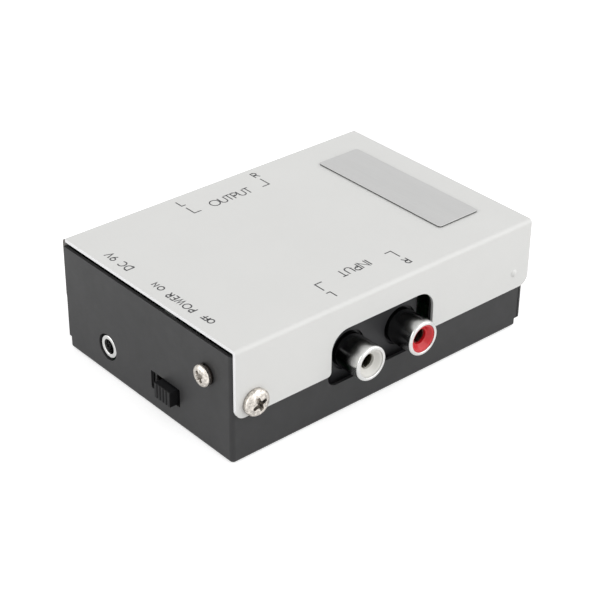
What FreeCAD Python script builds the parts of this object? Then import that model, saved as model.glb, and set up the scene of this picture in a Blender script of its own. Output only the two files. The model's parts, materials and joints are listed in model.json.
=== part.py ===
"""Phono preamp in a two-piece sheet-metal case: a light cover over a black tray, with sockets on two sides.

The frame: origin on the resting face under the middle of the cover, +X along the case towards its plain end,
-Y towards the input sockets, +Z up. All lengths are in millimetres.
"""
import FreeCAD, Part
import math
import os

V = FreeCAD.Vector
X_AXIS = V(1, 0, 0)
Y_AXIS = V(0, 1, 0)
Z_AXIS = V(0, 0, 1)
ORIGIN = V(0, 0, 0)

# Cover: one folded sheet, a top and two long flaps.
cover_length = 88.0
cover_width = 61.8
case_height = 28.5
cover_sheet = 0.7
cover_bend_radius = 1.0
flap_drop = 17.0
flap_corner_radius = 2.5
flap_notch_top_radius = 4.7
flap_notch_lip_radius = 1.0
bump_radius = 1.3
bump_rise = 0.35
bump_from_end = 4.9
bump_above_edge = 4.4

# Blank plate on the top, near the plain end.
plate_width = 12.6
plate_length = 41.9
plate_thickness = 0.4
plate_corner_radius = 0.8
plate_from_end = 6.9
plate_off_centre = 0.65

# Tray: floor, two long side walls and two end panels of one black sheet.
tray_sheet = 0.8
tray_bend_radius = 1.1
cover_side_clearance = 0.1
lid_gap = 1.0
near_panel_proud = 0.4
side_wall_inset = 1.0
far_panel_inset = 0.6
relief_height = 2.2
near_relief_height = 3.2
relief_length = 1.5
relief_slit = 0.3
tray_notch_margin = 0.15
tray_notch_corner_radius = 2.4

# Circuit board on four clinch standoffs.
board_thickness = 1.6
board_corner_radius = 1.0
board_end_clearance = 0.8
board_side_clearance = 1.8
standoff_height = 2.3
standoff_radius = 2.75
standoff_pilot_radius = 2.1
standoff_near_inset = 9.6
standoff_far_inset = 4.4
standoff_side_inset = 5.2
solder_reach = 1.0

# Screws: M3 throughout, pan heads with a cross recess.
screw_radius = 1.45
screw_clearance = 0.3
thread_clearance = 0.06
seat_clearance = 0.03
recess_depth = 1.0
recess_width = 0.8
cover_screw_head_radius = 3.2
cover_screw_head_height = 2.0
cover_screw_length = 6.0
cover_screw_from_end = 5.0
cover_screw_above_edge = 3.1
clinch_nut_radius = 3.0
clinch_nut_height = 2.4
board_screw_head_radius = 2.7
board_screw_head_height = 1.8
board_screw_length = 3.9

# Audio sockets: two on each long side, moulded block with plated sleeves.
jack_centre_x = -2.4
jack_spacing = 15.6
jack_axis_above_board = 9.2
block_behind_wall = 1.3
block_depth = 10.5
block_side = 5.3
block_above_axis = 6.2
block_edge_radius = 0.5
sleeve_radius = 4.2
sleeve_wall = 0.5
sleeve_past_flap = 4.8
sleeve_root_depth = 3.0
sleeve_root_step = 0.2
sleeve_tip_length = 0.8
sleeve_lip_width = 0.85
root_groove_width = 0.6
root_groove_depth = 0.9
insert_clearance = 0.05
insert_setback = 0.3
insert_hole_clearance = 0.2
funnel_depth = 1.1
funnel_end_radius = 1.9
pin_bore_radius = 1.65
contact_wall = 0.3
contact_setback = 0.7
contact_slot_width = 0.45
tail_thickness = 0.4
tail_width = 1.2
tail_slot_clearance = 0.15
plug_room_side = 3.2
plug_room_above = 3.8
plug_room_below = 1.8

# DC socket in the near end panel.
dc_socket_y = 14.5
dc_axis_above_board = 2.8
dc_body_length = 12.0
dc_body_width = 6.6
dc_body_height = 5.9
dc_bushing_radius = 2.85
dc_bore_radius = 1.8
dc_hole_gap = 0.45
dc_face_setback = 0.25
dc_bushing_root = 1.4
dc_spring_width = 1.6
dc_spring_thickness = 0.3
dc_spring_from_face = 4.0
dc_spring_room = 0.25
dc_spring_back = 0.5
dc_slot_clearance = 0.15
dc_body_bore_step = 0.25

# Power slide switch in the near end panel.
switch_centre_y = -7.05
switch_axis_above_board = 2.8
switch_travel = 3.0
knob_length = 5.5
knob_height = 3.8
knob_past_panel = 2.1
knob_ribs = 5
knob_rib_depth = 0.3
knob_end_room = 0.9
knob_side_room = 0.4
knob_slot_clearance = 0.25
slider_length = 7.5
slider_height = 4.4
slider_thickness = 1.6
slide_clearance = 0.2
switch_wall = 0.4
switch_end_room = 0.6
switch_base_thickness = 1.4
switch_contact_room = 1.5
switch_pin_pitch = 3.0

# Earth terminal in the near end panel.
earth_y = -21.7
earth_z = 18.9
earth_head_radius = 2.55
earth_head_height = 1.35
earth_screw_length = 6.2
earth_washer_radius = 2.5
earth_washer_thickness = 0.55
earth_washer_split = 0.5
earth_plate_width = 8.0
earth_plate_height = 7.0
earth_plate_thickness = 0.8
earth_boss_radius = 2.4
earth_boss_height = 1.7
earth_tab_width = 2.4
earth_tab_length = 3.2
earth_lead_radius = 0.6
earth_lead_bend = 1.5
earth_lead_run = 3.4

# Board components.
lead_radius = 0.28
lead_hole_clearance = 0.12
lead_bend = 0.6
resistor_radius = 1.15
resistor_length = 6.3
resistor_span = 9.4
resistor_pitch = 11.2
resistor_count_per_side = 5
resistor_row_gap = 2.0
resistor_above_board = 1.3
film_length = 7.2
film_width = 3.2
film_height = 6.4
film_offset_x = 11.4
film_offset_y = 4.6
film_lead_span = 5.0
coupling_radius = 2.5
coupling_height = 11.0
coupling_offset_x = 18.6
coupling_offset_y = 4.6
supply_radius = 4.0
supply_height = 11.5
supply_offset_x = 27.5
supply_offset_y = 5.6
radial_lead_span = 2.2
chip_length = 9.8
chip_width = 6.4
chip_height = 3.3
chip_standoff = 0.5
chip_leg_pitch = 2.54
chip_leg_width = 0.5
chip_leg_row = 7.62
regulator_radius = 2.4
regulator_height = 4.8
regulator_flat = 1.4
regulator_standoff = 1.6
regulator_offset_x = 25.0
regulator_offset_y = 3.4
diode_radius = 1.35
diode_length = 4.6
diode_span = 8.6
diode_offset_x = 26.5
diode_offset_y = 5.4

# Heights of the main levels.
board_bottom = tray_sheet + standoff_height
board_top = board_bottom + board_thickness
lead_end = board_bottom - solder_reach
jack_axis_z = board_top + jack_axis_above_board
flap_edge_z = case_height - flap_drop
rim_z = case_height - cover_sheet - lid_gap

# Faces across the width.
flap_face_y = cover_width / 2
wall_face_y = flap_face_y - cover_sheet - cover_side_clearance
wall_inner_y = wall_face_y - tray_sheet
block_face_y = wall_inner_y - block_behind_wall
block_back_y = block_face_y - block_depth
board_edge_y = wall_inner_y - board_side_clearance

# Faces along the length.
near_face_x = -cover_length / 2 - near_panel_proud
near_inner_x = near_face_x + tray_sheet
side_wall_end_x = cover_length / 2 - side_wall_inset
far_face_x = side_wall_end_x - far_panel_inset
far_inner_x = far_face_x - tray_sheet
board_near_x = near_inner_x + board_end_clearance
board_far_x = far_inner_x - board_end_clearance

# The notches that leave room for plugs round the sockets.
notch_half = jack_spacing / 2 + sleeve_radius + plug_room_side
notch_low_x = jack_centre_x - notch_half
notch_high_x = jack_centre_x + notch_half
flap_notch_top_z = jack_axis_z + sleeve_radius + plug_room_above
tray_notch_floor_z = jack_axis_z - sleeve_radius - plug_room_below

cover_screw_x = -cover_length / 2 + cover_screw_from_end
cover_screw_z = flap_edge_z + cover_screw_above_edge
screw_hole_radius = screw_radius + screw_clearance
thread_radius = screw_radius + thread_clearance
past = 5.0


def box(x0, x1, y0, y1, z0, z1):
    """A block between two corners."""
    return Part.makeBox(x1 - x0, y1 - y0, z1 - z0, V(x0, y0, z0))


def rod(radius, length, base, direction):
    """A cylinder from its base point along a direction."""
    return Part.makeCylinder(radius, length, base, direction)


def ring(outer, inner, length, base, direction):
    """A tube from its base point along a direction."""
    core = rod(inner, length + 2, base - direction, direction)
    return rod(outer, length, base, direction).cut(core)


def aimed(shape, base, direction):
    """A shape made along +Z at the origin, turned to a direction and moved to its base."""
    placed = shape.copy()
    placed.Placement = FreeCAD.Placement(base, FreeCAD.Rotation(Z_AXIS, direction))
    return placed


def turned(outline, base, direction):
    """A solid of revolution; its outline is (radius, height) pairs, turned to a direction."""
    points = [V(radius, 0, height) for radius, height in outline]
    wire = Part.makePolygon(points + [points[0]])
    solid = Part.Face(wire).revolve(ORIGIN, Z_AXIS, 360)
    return aimed(solid, base, direction)


def rounded_wire(corners):
    """A closed wire in the XY plane through (x, y, radius) corners, each rounded by its own arc."""
    count = len(corners)
    edges = []
    starts = []
    ends = []
    arcs = []
    for i in range(count):
        x, y, radius = corners[i]
        here = V(x, y, 0)
        back = (V(*corners[i - 1][:2], 0) - here).normalize()
        ahead = (V(*corners[(i + 1) % count][:2], 0) - here).normalize()
        if radius <= 0:
            starts.append(here)
            ends.append(here)
            arcs.append(None)
            continue
        half = back.getAngle(ahead) / 2
        reach = radius / math.tan(half)
        bisector = (back + ahead).normalize()
        starts.append(here + back * reach)
        ends.append(here + ahead * reach)
        arcs.append(here + bisector * (radius / math.sin(half) - radius))
    for i in range(count):
        if arcs[i] is not None:
            edges.append(Part.Arc(starts[i], arcs[i], ends[i]).toShape())
        following = starts[(i + 1) % count]
        if ends[i].distanceToPoint(following) > 1e-6:
            edges.append(Part.LineSegment(ends[i], following).toShape())
    return Part.Wire(edges)


def prism_z(corners, z0, z1):
    """A rounded outline in plan, raised from z0 to z1."""
    solid = Part.Face(rounded_wire(corners)).extrude(V(0, 0, z1 - z0))
    solid.translate(V(0, 0, z0))
    return solid


def prism_y(corners, y0, y1):
    """A rounded outline of (x, z, radius) corners, run from y0 to y1."""
    solid = Part.Face(rounded_wire(corners)).extrude(V(0, 0, y1 - y0))
    solid.rotate(ORIGIN, X_AXIS, 90)
    solid.translate(V(0, y1, 0))
    return solid


def prism_x(corners, x0, x1):
    """A rounded outline of (y, z, radius) corners, run from x0 to x1."""
    solid = Part.Face(rounded_wire(corners)).extrude(V(0, 0, x1 - x0))
    solid.rotate(ORIGIN, V(1, 1, 1), 120)
    solid.translate(V(x0, 0, 0))
    return solid


def rectangle(a0, a1, b0, b1, radius):
    """The four corners of a rectangle, all with one radius."""
    return [(a0, b0, radius), (a1, b0, radius), (a1, b1, radius), (a0, b1, radius)]


def wire_run(points, radius, bend):
    """A round wire along straight runs joined by tangent arcs of one bend radius."""
    edges = []
    start = points[0]
    for i in range(1, len(points) - 1):
        back = (points[i - 1] - points[i]).normalize()
        ahead = (points[i + 1] - points[i]).normalize()
        half = back.getAngle(ahead) / 2
        reach = bend / math.tan(half)
        bisector = (back + ahead).normalize()
        arc_start = points[i] + back * reach
        arc_end = points[i] + ahead * reach
        middle = points[i] + bisector * (bend / math.sin(half) - bend)
        edges.append(Part.LineSegment(start, arc_start).toShape())
        edges.append(Part.Arc(arc_start, middle, arc_end).toShape())
        start = arc_end
    edges.append(Part.LineSegment(start, points[-1]).toShape())
    direction = points[1] - points[0]
    section = Part.Wire(Part.Circle(points[0], direction, radius).toShape())
    return Part.Wire(edges).makePipeShell([section], True, False)


def mirrored(shape):
    """The same piece on the other long side."""
    return shape.mirror(ORIGIN, Y_AXIS)


def cross_recess(head_radius):
    """The tapered cross cut into a screw head, standing on its floor at the origin and opening along +Z."""
    def cross(arm, half, height):
        points = [(arm, -half), (arm, half), (half, half), (half, arm), (-half, arm), (-half, half),
                  (-arm, half), (-arm, -half), (-half, -half), (-half, -arm), (half, -arm), (half, -half)]
        corners = [V(x, y, height) for x, y in points]
        return Part.makePolygon(corners + [corners[0]])

    mouth_arm = head_radius * 0.6
    floor_arm = head_radius * 0.36
    half = recess_width / 2
    floor_cross = cross(floor_arm, half * 0.7, 0)
    mouth_cross = cross(mouth_arm, half, recess_depth + 0.01)
    return Part.makeLoft([floor_cross, mouth_cross], True, True)


def pan_screw(head_radius, head_height, length):
    """A pan-head screw: the head stands on the origin plane along +Z and the shank runs along -Z."""
    rim = 0.45 * head_height
    crown = 0.7 * head_radius
    outline = [
        Part.LineSegment(V(0, 0, 0), V(head_radius, 0, 0)).toShape(),
        Part.LineSegment(V(head_radius, 0, 0), V(head_radius, 0, rim)).toShape(),
        Part.Arc(V(head_radius, 0, rim), V(0.93 * head_radius, 0, 0.82 * head_height),
                 V(crown, 0, head_height)).toShape(),
        Part.LineSegment(V(crown, 0, head_height), V(0, 0, head_height)).toShape(),
        Part.LineSegment(V(0, 0, head_height), V(0, 0, 0)).toShape(),
    ]
    head = Part.Face(Part.Wire(outline)).revolve(ORIGIN, Z_AXIS, 360)
    tip = 0.4
    shank = turned([(0, 0.1), (screw_radius, 0.1), (screw_radius, tip - length),
                    (screw_radius - tip, -length), (0, -length)], ORIGIN, Z_AXIS)
    recess = cross_recess(head_radius)
    recess.translate(V(0, 0, head_height - recess_depth))
    return head.fuse(shank).removeSplitter().cut(recess)


def cover():
    """The cover: a channel with rounded bends, cut to the flap outline, with two locating bumps."""
    def channel(inset, x0, x1):
        half = flap_face_y - inset
        top = case_height - inset
        bend = cover_bend_radius - inset
        return prism_x([(-half, -past, 0), (half, -past, 0), (half, top, bend), (-half, top, bend)], x0, x1)

    half_length = cover_length / 2
    outer = channel(0, -half_length, half_length)
    inner = channel(cover_sheet, -half_length - past, half_length + past)
    sheet = outer.cut(inner)
    top = case_height + past
    outline = prism_y([(-half_length, flap_edge_z, flap_corner_radius),
                       (notch_low_x, flap_edge_z, flap_notch_lip_radius),
                       (notch_low_x, flap_notch_top_z, flap_notch_top_radius),
                       (notch_high_x, flap_notch_top_z, flap_notch_top_radius),
                       (notch_high_x, flap_edge_z, flap_notch_lip_radius),
                       (half_length, flap_edge_z, flap_corner_radius),
                       (half_length, top, 0),
                       (-half_length, top, 0)], -flap_face_y - past, flap_face_y + past)
    sheet = sheet.common(outline)
    for side in (-1, 1):
        hole = rod(screw_hole_radius, 2 * past, V(cover_screw_x, side * (flap_face_y - past), cover_screw_z),
                   V(0, side, 0))
        sheet = sheet.cut(hole)
        sheet = locating_bump(sheet, side)
    return sheet


def locating_bump(sheet, side):
    """A shallow bump pressed outwards through one flap near the plain end."""
    out = V(0, side, 0)
    seat = V(cover_length / 2 - bump_from_end, side * flap_face_y, flap_edge_z + bump_above_edge)
    ball = (bump_radius ** 2 + bump_rise ** 2) / (2 * bump_rise)
    cap = Part.makeSphere(ball, seat - out * (ball - bump_rise))
    cap = cap.common(rod(bump_radius + 1, bump_rise + 1, seat - out * 0.01, out))
    hollow_seat = seat - out * cover_sheet
    hollow = Part.makeSphere(ball, hollow_seat - out * (ball - bump_rise))
    hollow = hollow.common(rod(bump_radius + 1, bump_rise + 1, hollow_seat - out * 0.5, out))
    return sheet.fuse(cap).removeSplitter().cut(hollow)


def blank_plate():
    """The bare plate that lies on the cover."""
    high_x = cover_length / 2 - plate_from_end
    low_x = high_x - plate_width
    low_y = plate_off_centre - plate_length / 2
    return prism_z(rectangle(low_x, high_x, low_y, low_y + plate_length, plate_corner_radius),
                   case_height, case_height + plate_thickness)


def tray():
    """The tray: a folded box with one dressed corner, slits and open reliefs at the others, and every opening."""
    def body(inset, x0, x1, top):
        half = wall_face_y - inset
        block = box(x0, x1, -half, half, inset, top)
        rounded = []
        for edge in block.Edges:
            middle = edge.CenterOfMass
            on_dressed_corner = abs(middle.x - x0) < 1e-6 and abs(middle.y + half) < 1e-6
            if abs(middle.z - inset) < 1e-6 or on_dressed_corner:
                rounded.append(edge)
        return block.makeFillet(tray_bend_radius - inset, rounded)

    shell = body(0, near_face_x, far_face_x, rim_z)
    shell = shell.cut(body(tray_sheet, near_inner_x, far_inner_x, rim_z + past))
    for side in (-1, 1):
        outer = side * wall_face_y
        inner = side * wall_inner_y
        low_y, high_y = min(outer, inner), max(outer, inner)
        shell = shell.fuse(box(far_inner_x, side_wall_end_x, low_y, high_y, relief_height, rim_z))
        slit_inner = inner - side * relief_slit
        slit_low, slit_high = min(inner, slit_inner), max(inner, slit_inner)
        slit = box(far_inner_x - tray_sheet, far_face_x + 1, slit_low, slit_high, relief_height, rim_z + 1)
        past_wall = side * (wall_face_y + 1)
        relief_low, relief_high = min(slit_inner, past_wall), max(slit_inner, past_wall)
        relief = box(side_wall_end_x - relief_length, side_wall_end_x + 1, relief_low, relief_high,
                     -1, relief_height)
        shell = shell.cut(slit).cut(relief)
    near_slit = box(near_inner_x, near_inner_x + relief_slit, wall_inner_y, wall_face_y + 1,
                    near_relief_height, rim_z + 1)
    near_relief = box(near_face_x - 1, near_face_x + relief_length, wall_inner_y, wall_face_y + 1,
                      -1, near_relief_height)
    shell = shell.cut(near_slit).cut(near_relief)
    shell = shell.removeSplitter()
    low_x = notch_low_x - tray_notch_margin
    high_x = notch_high_x + tray_notch_margin
    notch = prism_y([(low_x, tray_notch_floor_z, tray_notch_corner_radius),
                     (high_x, tray_notch_floor_z, tray_notch_corner_radius),
                     (high_x, rim_z + past, 0),
                     (low_x, rim_z + past, 0)], -wall_face_y - past, wall_face_y + past)
    shell = shell.cut(notch)
    for side in (-1, 1):
        shell = shell.cut(rod(screw_hole_radius, 2 * past,
                              V(cover_screw_x, side * (wall_face_y - past), cover_screw_z), V(0, side, 0)))
    for x, y in standoff_places():
        shell = shell.cut(rod(standoff_pilot_radius + seat_clearance, tray_sheet + past, V(x, y, -1), Z_AXIS))
    return near_panel_openings(shell)


def near_panel_openings(shell):
    """Cuts the DC hole, the switch slot and the earth screw hole through the near end panel."""
    outside = near_face_x - 1
    depth = tray_sheet + past
    dc_hole = rod(dc_bushing_radius + dc_hole_gap, depth, V(outside, dc_socket_y, dc_axis_z()), X_AXIS)
    earth_hole = rod(screw_hole_radius, depth, V(outside, earth_y, earth_z), X_AXIS)
    half = (knob_length + switch_travel) / 2 + knob_end_room
    low_z = switch_axis_z() - knob_height / 2 - knob_side_room
    high_z = switch_axis_z() + knob_height / 2 + knob_side_room
    slot = prism_x(rectangle(switch_centre_y - half, switch_centre_y + half, low_z, high_z, 0.3),
                   outside, outside + depth)
    return shell.cut(dc_hole).cut(slot).cut(earth_hole)


def dc_axis_z():
    """Height of the DC socket's axis."""
    return board_top + dc_axis_above_board


def switch_axis_z():
    """Height of the middle of the switch knob."""
    return board_top + switch_axis_above_board


def standoff_places():
    """Plan positions of the four board standoffs."""
    xs = (board_near_x + standoff_near_inset, board_far_x - standoff_far_inset)
    ys = (-board_edge_y + standoff_side_inset, board_edge_y - standoff_side_inset)
    return [(x, y) for x in xs for y in ys]


def standoffs():
    """Clinch standoffs: a pilot in the floor, a shoulder above it and a threaded bore."""
    made = []
    for x, y in standoff_places():
        body = rod(standoff_pilot_radius, tray_sheet, V(x, y, 0), Z_AXIS)
        body = body.fuse(rod(standoff_radius, standoff_height, V(x, y, tray_sheet), Z_AXIS)).removeSplitter()
        made.append(body.cut(rod(thread_radius, board_bottom + past, V(x, y, -1), Z_AXIS)))
    return made


def board_screws():
    """Pan-head screws from the board into the standoffs."""
    screw = pan_screw(board_screw_head_radius, board_screw_head_height, board_screw_length)
    return [aimed(screw, V(x, y, board_top), Z_AXIS) for x, y in standoff_places()]


def cover_screw(side):
    """The screw through one flap and side wall into its clinch nut."""
    screw = pan_screw(cover_screw_head_radius, cover_screw_head_height, cover_screw_length)
    return aimed(screw, V(cover_screw_x, side * flap_face_y, cover_screw_z), V(0, side, 0))


def cover_nuts():
    """Clinch nuts on the inner faces of the side walls."""
    made = []
    for side in (-1, 1):
        base = V(cover_screw_x, side * wall_inner_y, cover_screw_z)
        nut = ring(clinch_nut_radius, thread_radius, clinch_nut_height, base, V(0, -side, 0))
        made.append(nut)
    return made


def jack_places():
    """Positions along X of the left and right sockets."""
    return {"left": jack_centre_x - jack_spacing / 2, "right": jack_centre_x + jack_spacing / 2}


def on_axis(x, y):
    """A point on the axis of the input socket at x."""
    return V(x, y, jack_axis_z)


def sleeve_front_y():
    """The front edge of an input sleeve."""
    return -flap_face_y - sleeve_past_flap


def sleeve_root_y():
    """The back end of an input sleeve, inside the block."""
    return -block_face_y + sleeve_root_depth


def earth_tail_y():
    """The middle of a sleeve's solder tail."""
    return sleeve_root_y() + tail_thickness / 2


def contact_tail_y():
    """The middle of a centre contact's solder tail."""
    return -block_back_y - block_depth * 0.25


def jack_block():
    """The input socket block, with its sleeve bores, tail slots and open back."""
    low_x = jack_centre_x - jack_spacing / 2 - block_side
    high_x = jack_centre_x + jack_spacing / 2 + block_side
    top = jack_axis_z + block_above_axis
    block = prism_z(rectangle(low_x, high_x, -block_face_y, -block_back_y, block_edge_radius), board_top, top)
    root = sleeve_root_y()
    for x in jack_places().values():
        bore = rod(sleeve_radius - sleeve_root_step + seat_clearance, sleeve_root_depth + 1 + seat_clearance,
                   on_axis(x, -block_face_y - 1), Y_AXIS)
        groove = rod(sleeve_radius + root_groove_width, root_groove_depth + 1 + seat_clearance,
                     on_axis(x, -block_face_y - 1), Y_AXIS)
        contact_hole = rod(pin_bore_radius + contact_wall + tail_slot_clearance, block_depth,
                           on_axis(x, root - 1), Y_AXIS)
        half = tail_width / 2 + tail_slot_clearance
        depth = tail_thickness / 2 + tail_slot_clearance
        earth_slot = box(x - half, x + half, earth_tail_y() - depth, earth_tail_y() + depth,
                         board_top - 1, jack_axis_z)
        back_slot = box(x - half, x + half, contact_tail_y() - depth, -block_back_y + 1,
                        board_top - 1, jack_axis_z)
        block = block.cut(bore).cut(groove).cut(contact_hole).cut(earth_slot).cut(back_slot)
    return block


def jack_sleeve(x):
    """The plated sleeve of the input socket at x, stepped down inside its block, with its solder tail."""
    front = sleeve_front_y()
    root = sleeve_root_y()
    length = root - front
    inner = sleeve_radius - sleeve_wall
    root_radius = sleeve_radius - sleeve_root_step
    shoulder = sleeve_root_depth - root_groove_depth
    lip = sleeve_radius - sleeve_lip_width
    outline = [(inner, 0), (root_radius, 0), (root_radius, shoulder), (sleeve_radius, shoulder),
               (sleeve_radius, length - sleeve_tip_length),
               (sleeve_radius - 0.12, length - 0.45 * sleeve_tip_length),
               (sleeve_radius - 0.45, length - 0.08 * sleeve_tip_length),
               (lip + 0.12, length), (lip, length - 0.15), (lip, length - insert_setback),
               (inner, length - insert_setback)]
    sleeve = turned(outline, on_axis(x, root), V(0, -1, 0))
    half = tail_thickness / 2
    tail = box(x - tail_width / 2, x + tail_width / 2, earth_tail_y() - half, earth_tail_y() + half,
               lead_end, jack_axis_z - inner - 0.1)
    tail = tail.fuse(box(x - tail_width / 2, x + tail_width / 2, root - 0.6, earth_tail_y() + half,
                         jack_axis_z - root_radius + 0.05, jack_axis_z - inner - 0.1))
    return sleeve.fuse(tail).removeSplitter()


def jack_insert(x):
    """The coloured insert of the input socket at x: a funnel mouth and a stepped bore for the contact."""
    front = sleeve_front_y() + insert_setback
    root = sleeve_root_y()
    length = root - front
    outer = sleeve_radius - sleeve_wall - insert_clearance
    mouth = sleeve_radius - sleeve_lip_width
    hole = pin_bore_radius + contact_wall + insert_clearance
    outline = [(hole, 0), (outer, 0), (outer, length - 0.02), (mouth, length - 0.02),
               (mouth - 0.15, length - 0.17), (funnel_end_radius, length - funnel_depth),
               (pin_bore_radius + insert_hole_clearance, length - funnel_depth - 0.15),
               (pin_bore_radius + insert_hole_clearance, length - funnel_depth - contact_setback),
               (hole, length - funnel_depth - contact_setback)]
    return turned(outline, on_axis(x, root), V(0, -1, 0))


def jack_contact(x):
    """The slotted tube that grips the centre pin of a plug, with its solder tail."""
    front = sleeve_front_y() + insert_setback + funnel_depth + contact_setback + insert_clearance
    back = contact_tail_y() - tail_thickness / 2
    outer = pin_bore_radius + contact_wall
    tube = ring(outer, pin_bore_radius, back - front, on_axis(x, front), Y_AXIS)
    slot_end = sleeve_root_y() - 1.0
    half = contact_slot_width / 2
    slot = box(x - half, x + half, front - 1, slot_end, jack_axis_z - outer - 1, jack_axis_z + outer + 1)
    tail = box(x - tail_width / 2, x + tail_width / 2, back, back + tail_thickness,
               lead_end, jack_axis_z - pin_bore_radius + 0.1)
    cap = rod(outer, tail_thickness, on_axis(x, back), Y_AXIS)
    return tube.cut(slot).fuse([tail, cap]).removeSplitter()


def dc_socket():
    """The DC socket: moulded body, plated bushing, tip spring and sleeve contact."""
    axis_z = dc_axis_z()
    face_x = near_inner_x + slide_clearance
    back_x = face_x + dc_body_length
    half = dc_body_width / 2
    front_x = near_face_x + dc_face_setback
    axis = V(front_x, dc_socket_y, axis_z)
    body = prism_x([(dc_socket_y - half, board_top, 0), (dc_socket_y + half, board_top, 0),
                    (dc_socket_y + half, board_top + dc_body_height, 0.5),
                    (dc_socket_y - half, board_top + dc_body_height, 0.5)], face_x, back_x)
    bushing_end = face_x + dc_bushing_root
    body = body.cut(rod(dc_bushing_radius - 0.4 + seat_clearance, dc_bushing_root + seat_clearance,
                        V(face_x, dc_socket_y, axis_z), X_AXIS))
    body = body.cut(rod(dc_bore_radius + dc_body_bore_step, dc_body_length - 1.0 + past,
                        V(face_x - past, dc_socket_y, axis_z), X_AXIS))
    bushing = turned([(dc_bore_radius, 0), (dc_bushing_radius - 0.5, 0), (dc_bushing_radius - 0.12, 0.1),
                      (dc_bushing_radius, 0.35), (dc_bushing_radius, face_x - front_x - seat_clearance),
                      (dc_bushing_radius - 0.4, face_x - front_x - seat_clearance),
                      (dc_bushing_radius - 0.4, bushing_end - front_x), (dc_bore_radius, bushing_end - front_x)],
                     axis, X_AXIS)
    spring_low, spring_high = dc_spring_span()
    slot_x = face_x + dc_spring_from_face
    spring_half = dc_spring_width / 2
    slot_half = spring_half + dc_slot_clearance
    body = body.cut(box(slot_x, back_x + past, spring_low - dc_slot_clearance, spring_high + dc_slot_clearance,
                        axis_z - slot_half, axis_z + slot_half))
    end_x = back_x + dc_spring_back
    tip = box(slot_x + 2 * dc_slot_clearance, end_x, spring_low, spring_high,
              axis_z - spring_half, axis_z + spring_half)
    leg = box(end_x - dc_spring_thickness, end_x, spring_low, spring_high, lead_end, axis_z)
    tip = tip.fuse(leg).removeSplitter()
    side_high = dc_socket_y - half - dc_slot_clearance
    sleeve = box(slot_x, slot_x + dc_spring_width, side_high - dc_spring_thickness, side_high, lead_end,
                 axis_z + spring_half)
    return {"dc_socket_body": body, "dc_socket_bushing": bushing, "dc_socket_tip_spring": tip,
            "dc_socket_sleeve_contact": sleeve}


def dc_spring_span():
    """The near and far faces, along Y, of the DC socket's tip spring."""
    near = dc_socket_y + dc_bore_radius + dc_spring_room
    return near, near + dc_spring_thickness


def dc_pin_places():
    """Plan positions of the DC socket's two board pins."""
    face_x = near_inner_x + slide_clearance
    back_x = face_x + dc_body_length
    half = dc_spring_thickness / 2
    tip = (back_x + dc_spring_back - half, sum(dc_spring_span()) / 2)
    side_y = dc_socket_y - dc_body_width / 2 - dc_slot_clearance - half
    return [tip, (face_x + dc_spring_from_face + dc_spring_width / 2, side_y)]


def switch_depths():
    """Planes of the switch along X: frame front, slider front, slider back, base front, frame back."""
    front = near_inner_x + slide_clearance
    slider_front = front + switch_wall + slide_clearance
    slider_back = slider_front + slider_thickness
    base_front = slider_back + switch_contact_room
    return front, slider_front, slider_back, base_front, base_front + switch_base_thickness


def switch_frame():
    """The folded metal frame of the switch, open at its back."""
    front, _, _, _, back = switch_depths()
    half_y, half_z = switch_halves()
    axis_z = switch_axis_z()
    wall = switch_wall
    outer = prism_x(rectangle(switch_centre_y - half_y - wall, switch_centre_y + half_y + wall,
                              axis_z - half_z - wall, axis_z + half_z + wall, 0.3), front, back)
    hollow = box(front + wall, back + 1, switch_centre_y - half_y, switch_centre_y + half_y,
                 axis_z - half_z, axis_z + half_z)
    slot_y = (knob_length + switch_travel) / 2 + knob_slot_clearance
    slot_z = knob_height / 2 + knob_slot_clearance
    slot = box(front - 1, front + wall + 1, switch_centre_y - slot_y, switch_centre_y + slot_y,
               axis_z - slot_z, axis_z + slot_z)
    return outer.cut(hollow).cut(slot)


def switch_halves():
    """Half the inner length and height of the switch frame."""
    half_y = (slider_length + switch_travel) / 2 + switch_end_room
    return half_y, slider_height / 2 + slide_clearance


def switch_base():
    """The insulating base that closes the back of the switch frame."""
    _, _, _, base_front, back = switch_depths()
    half_y, half_z = switch_halves()
    return box(base_front, back, switch_centre_y - half_y + seat_clearance, switch_centre_y + half_y - seat_clearance,
               switch_axis_z() - half_z + seat_clearance, switch_axis_z() + half_z - seat_clearance)


def switch_pin_places():
    """Plan positions of the switch's three board pins."""
    back = switch_depths()[4]
    return [(back + 0.45, switch_centre_y + step * switch_pin_pitch) for step in (-1, 0, 1)]


def switch_terminals():
    """Three bent terminals from the base into the board."""
    back = switch_depths()[4]
    made = []
    for x, y in switch_pin_places():
        arm = box(back, x + 0.2, y - 0.4, y + 0.4, switch_axis_z() - 0.2, switch_axis_z() + 0.2)
        leg = box(x - 0.2, x + 0.2, y - 0.4, y + 0.4, lead_end, switch_axis_z() + 0.2)
        made.append(arm.fuse(leg).removeSplitter())
    return made


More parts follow.
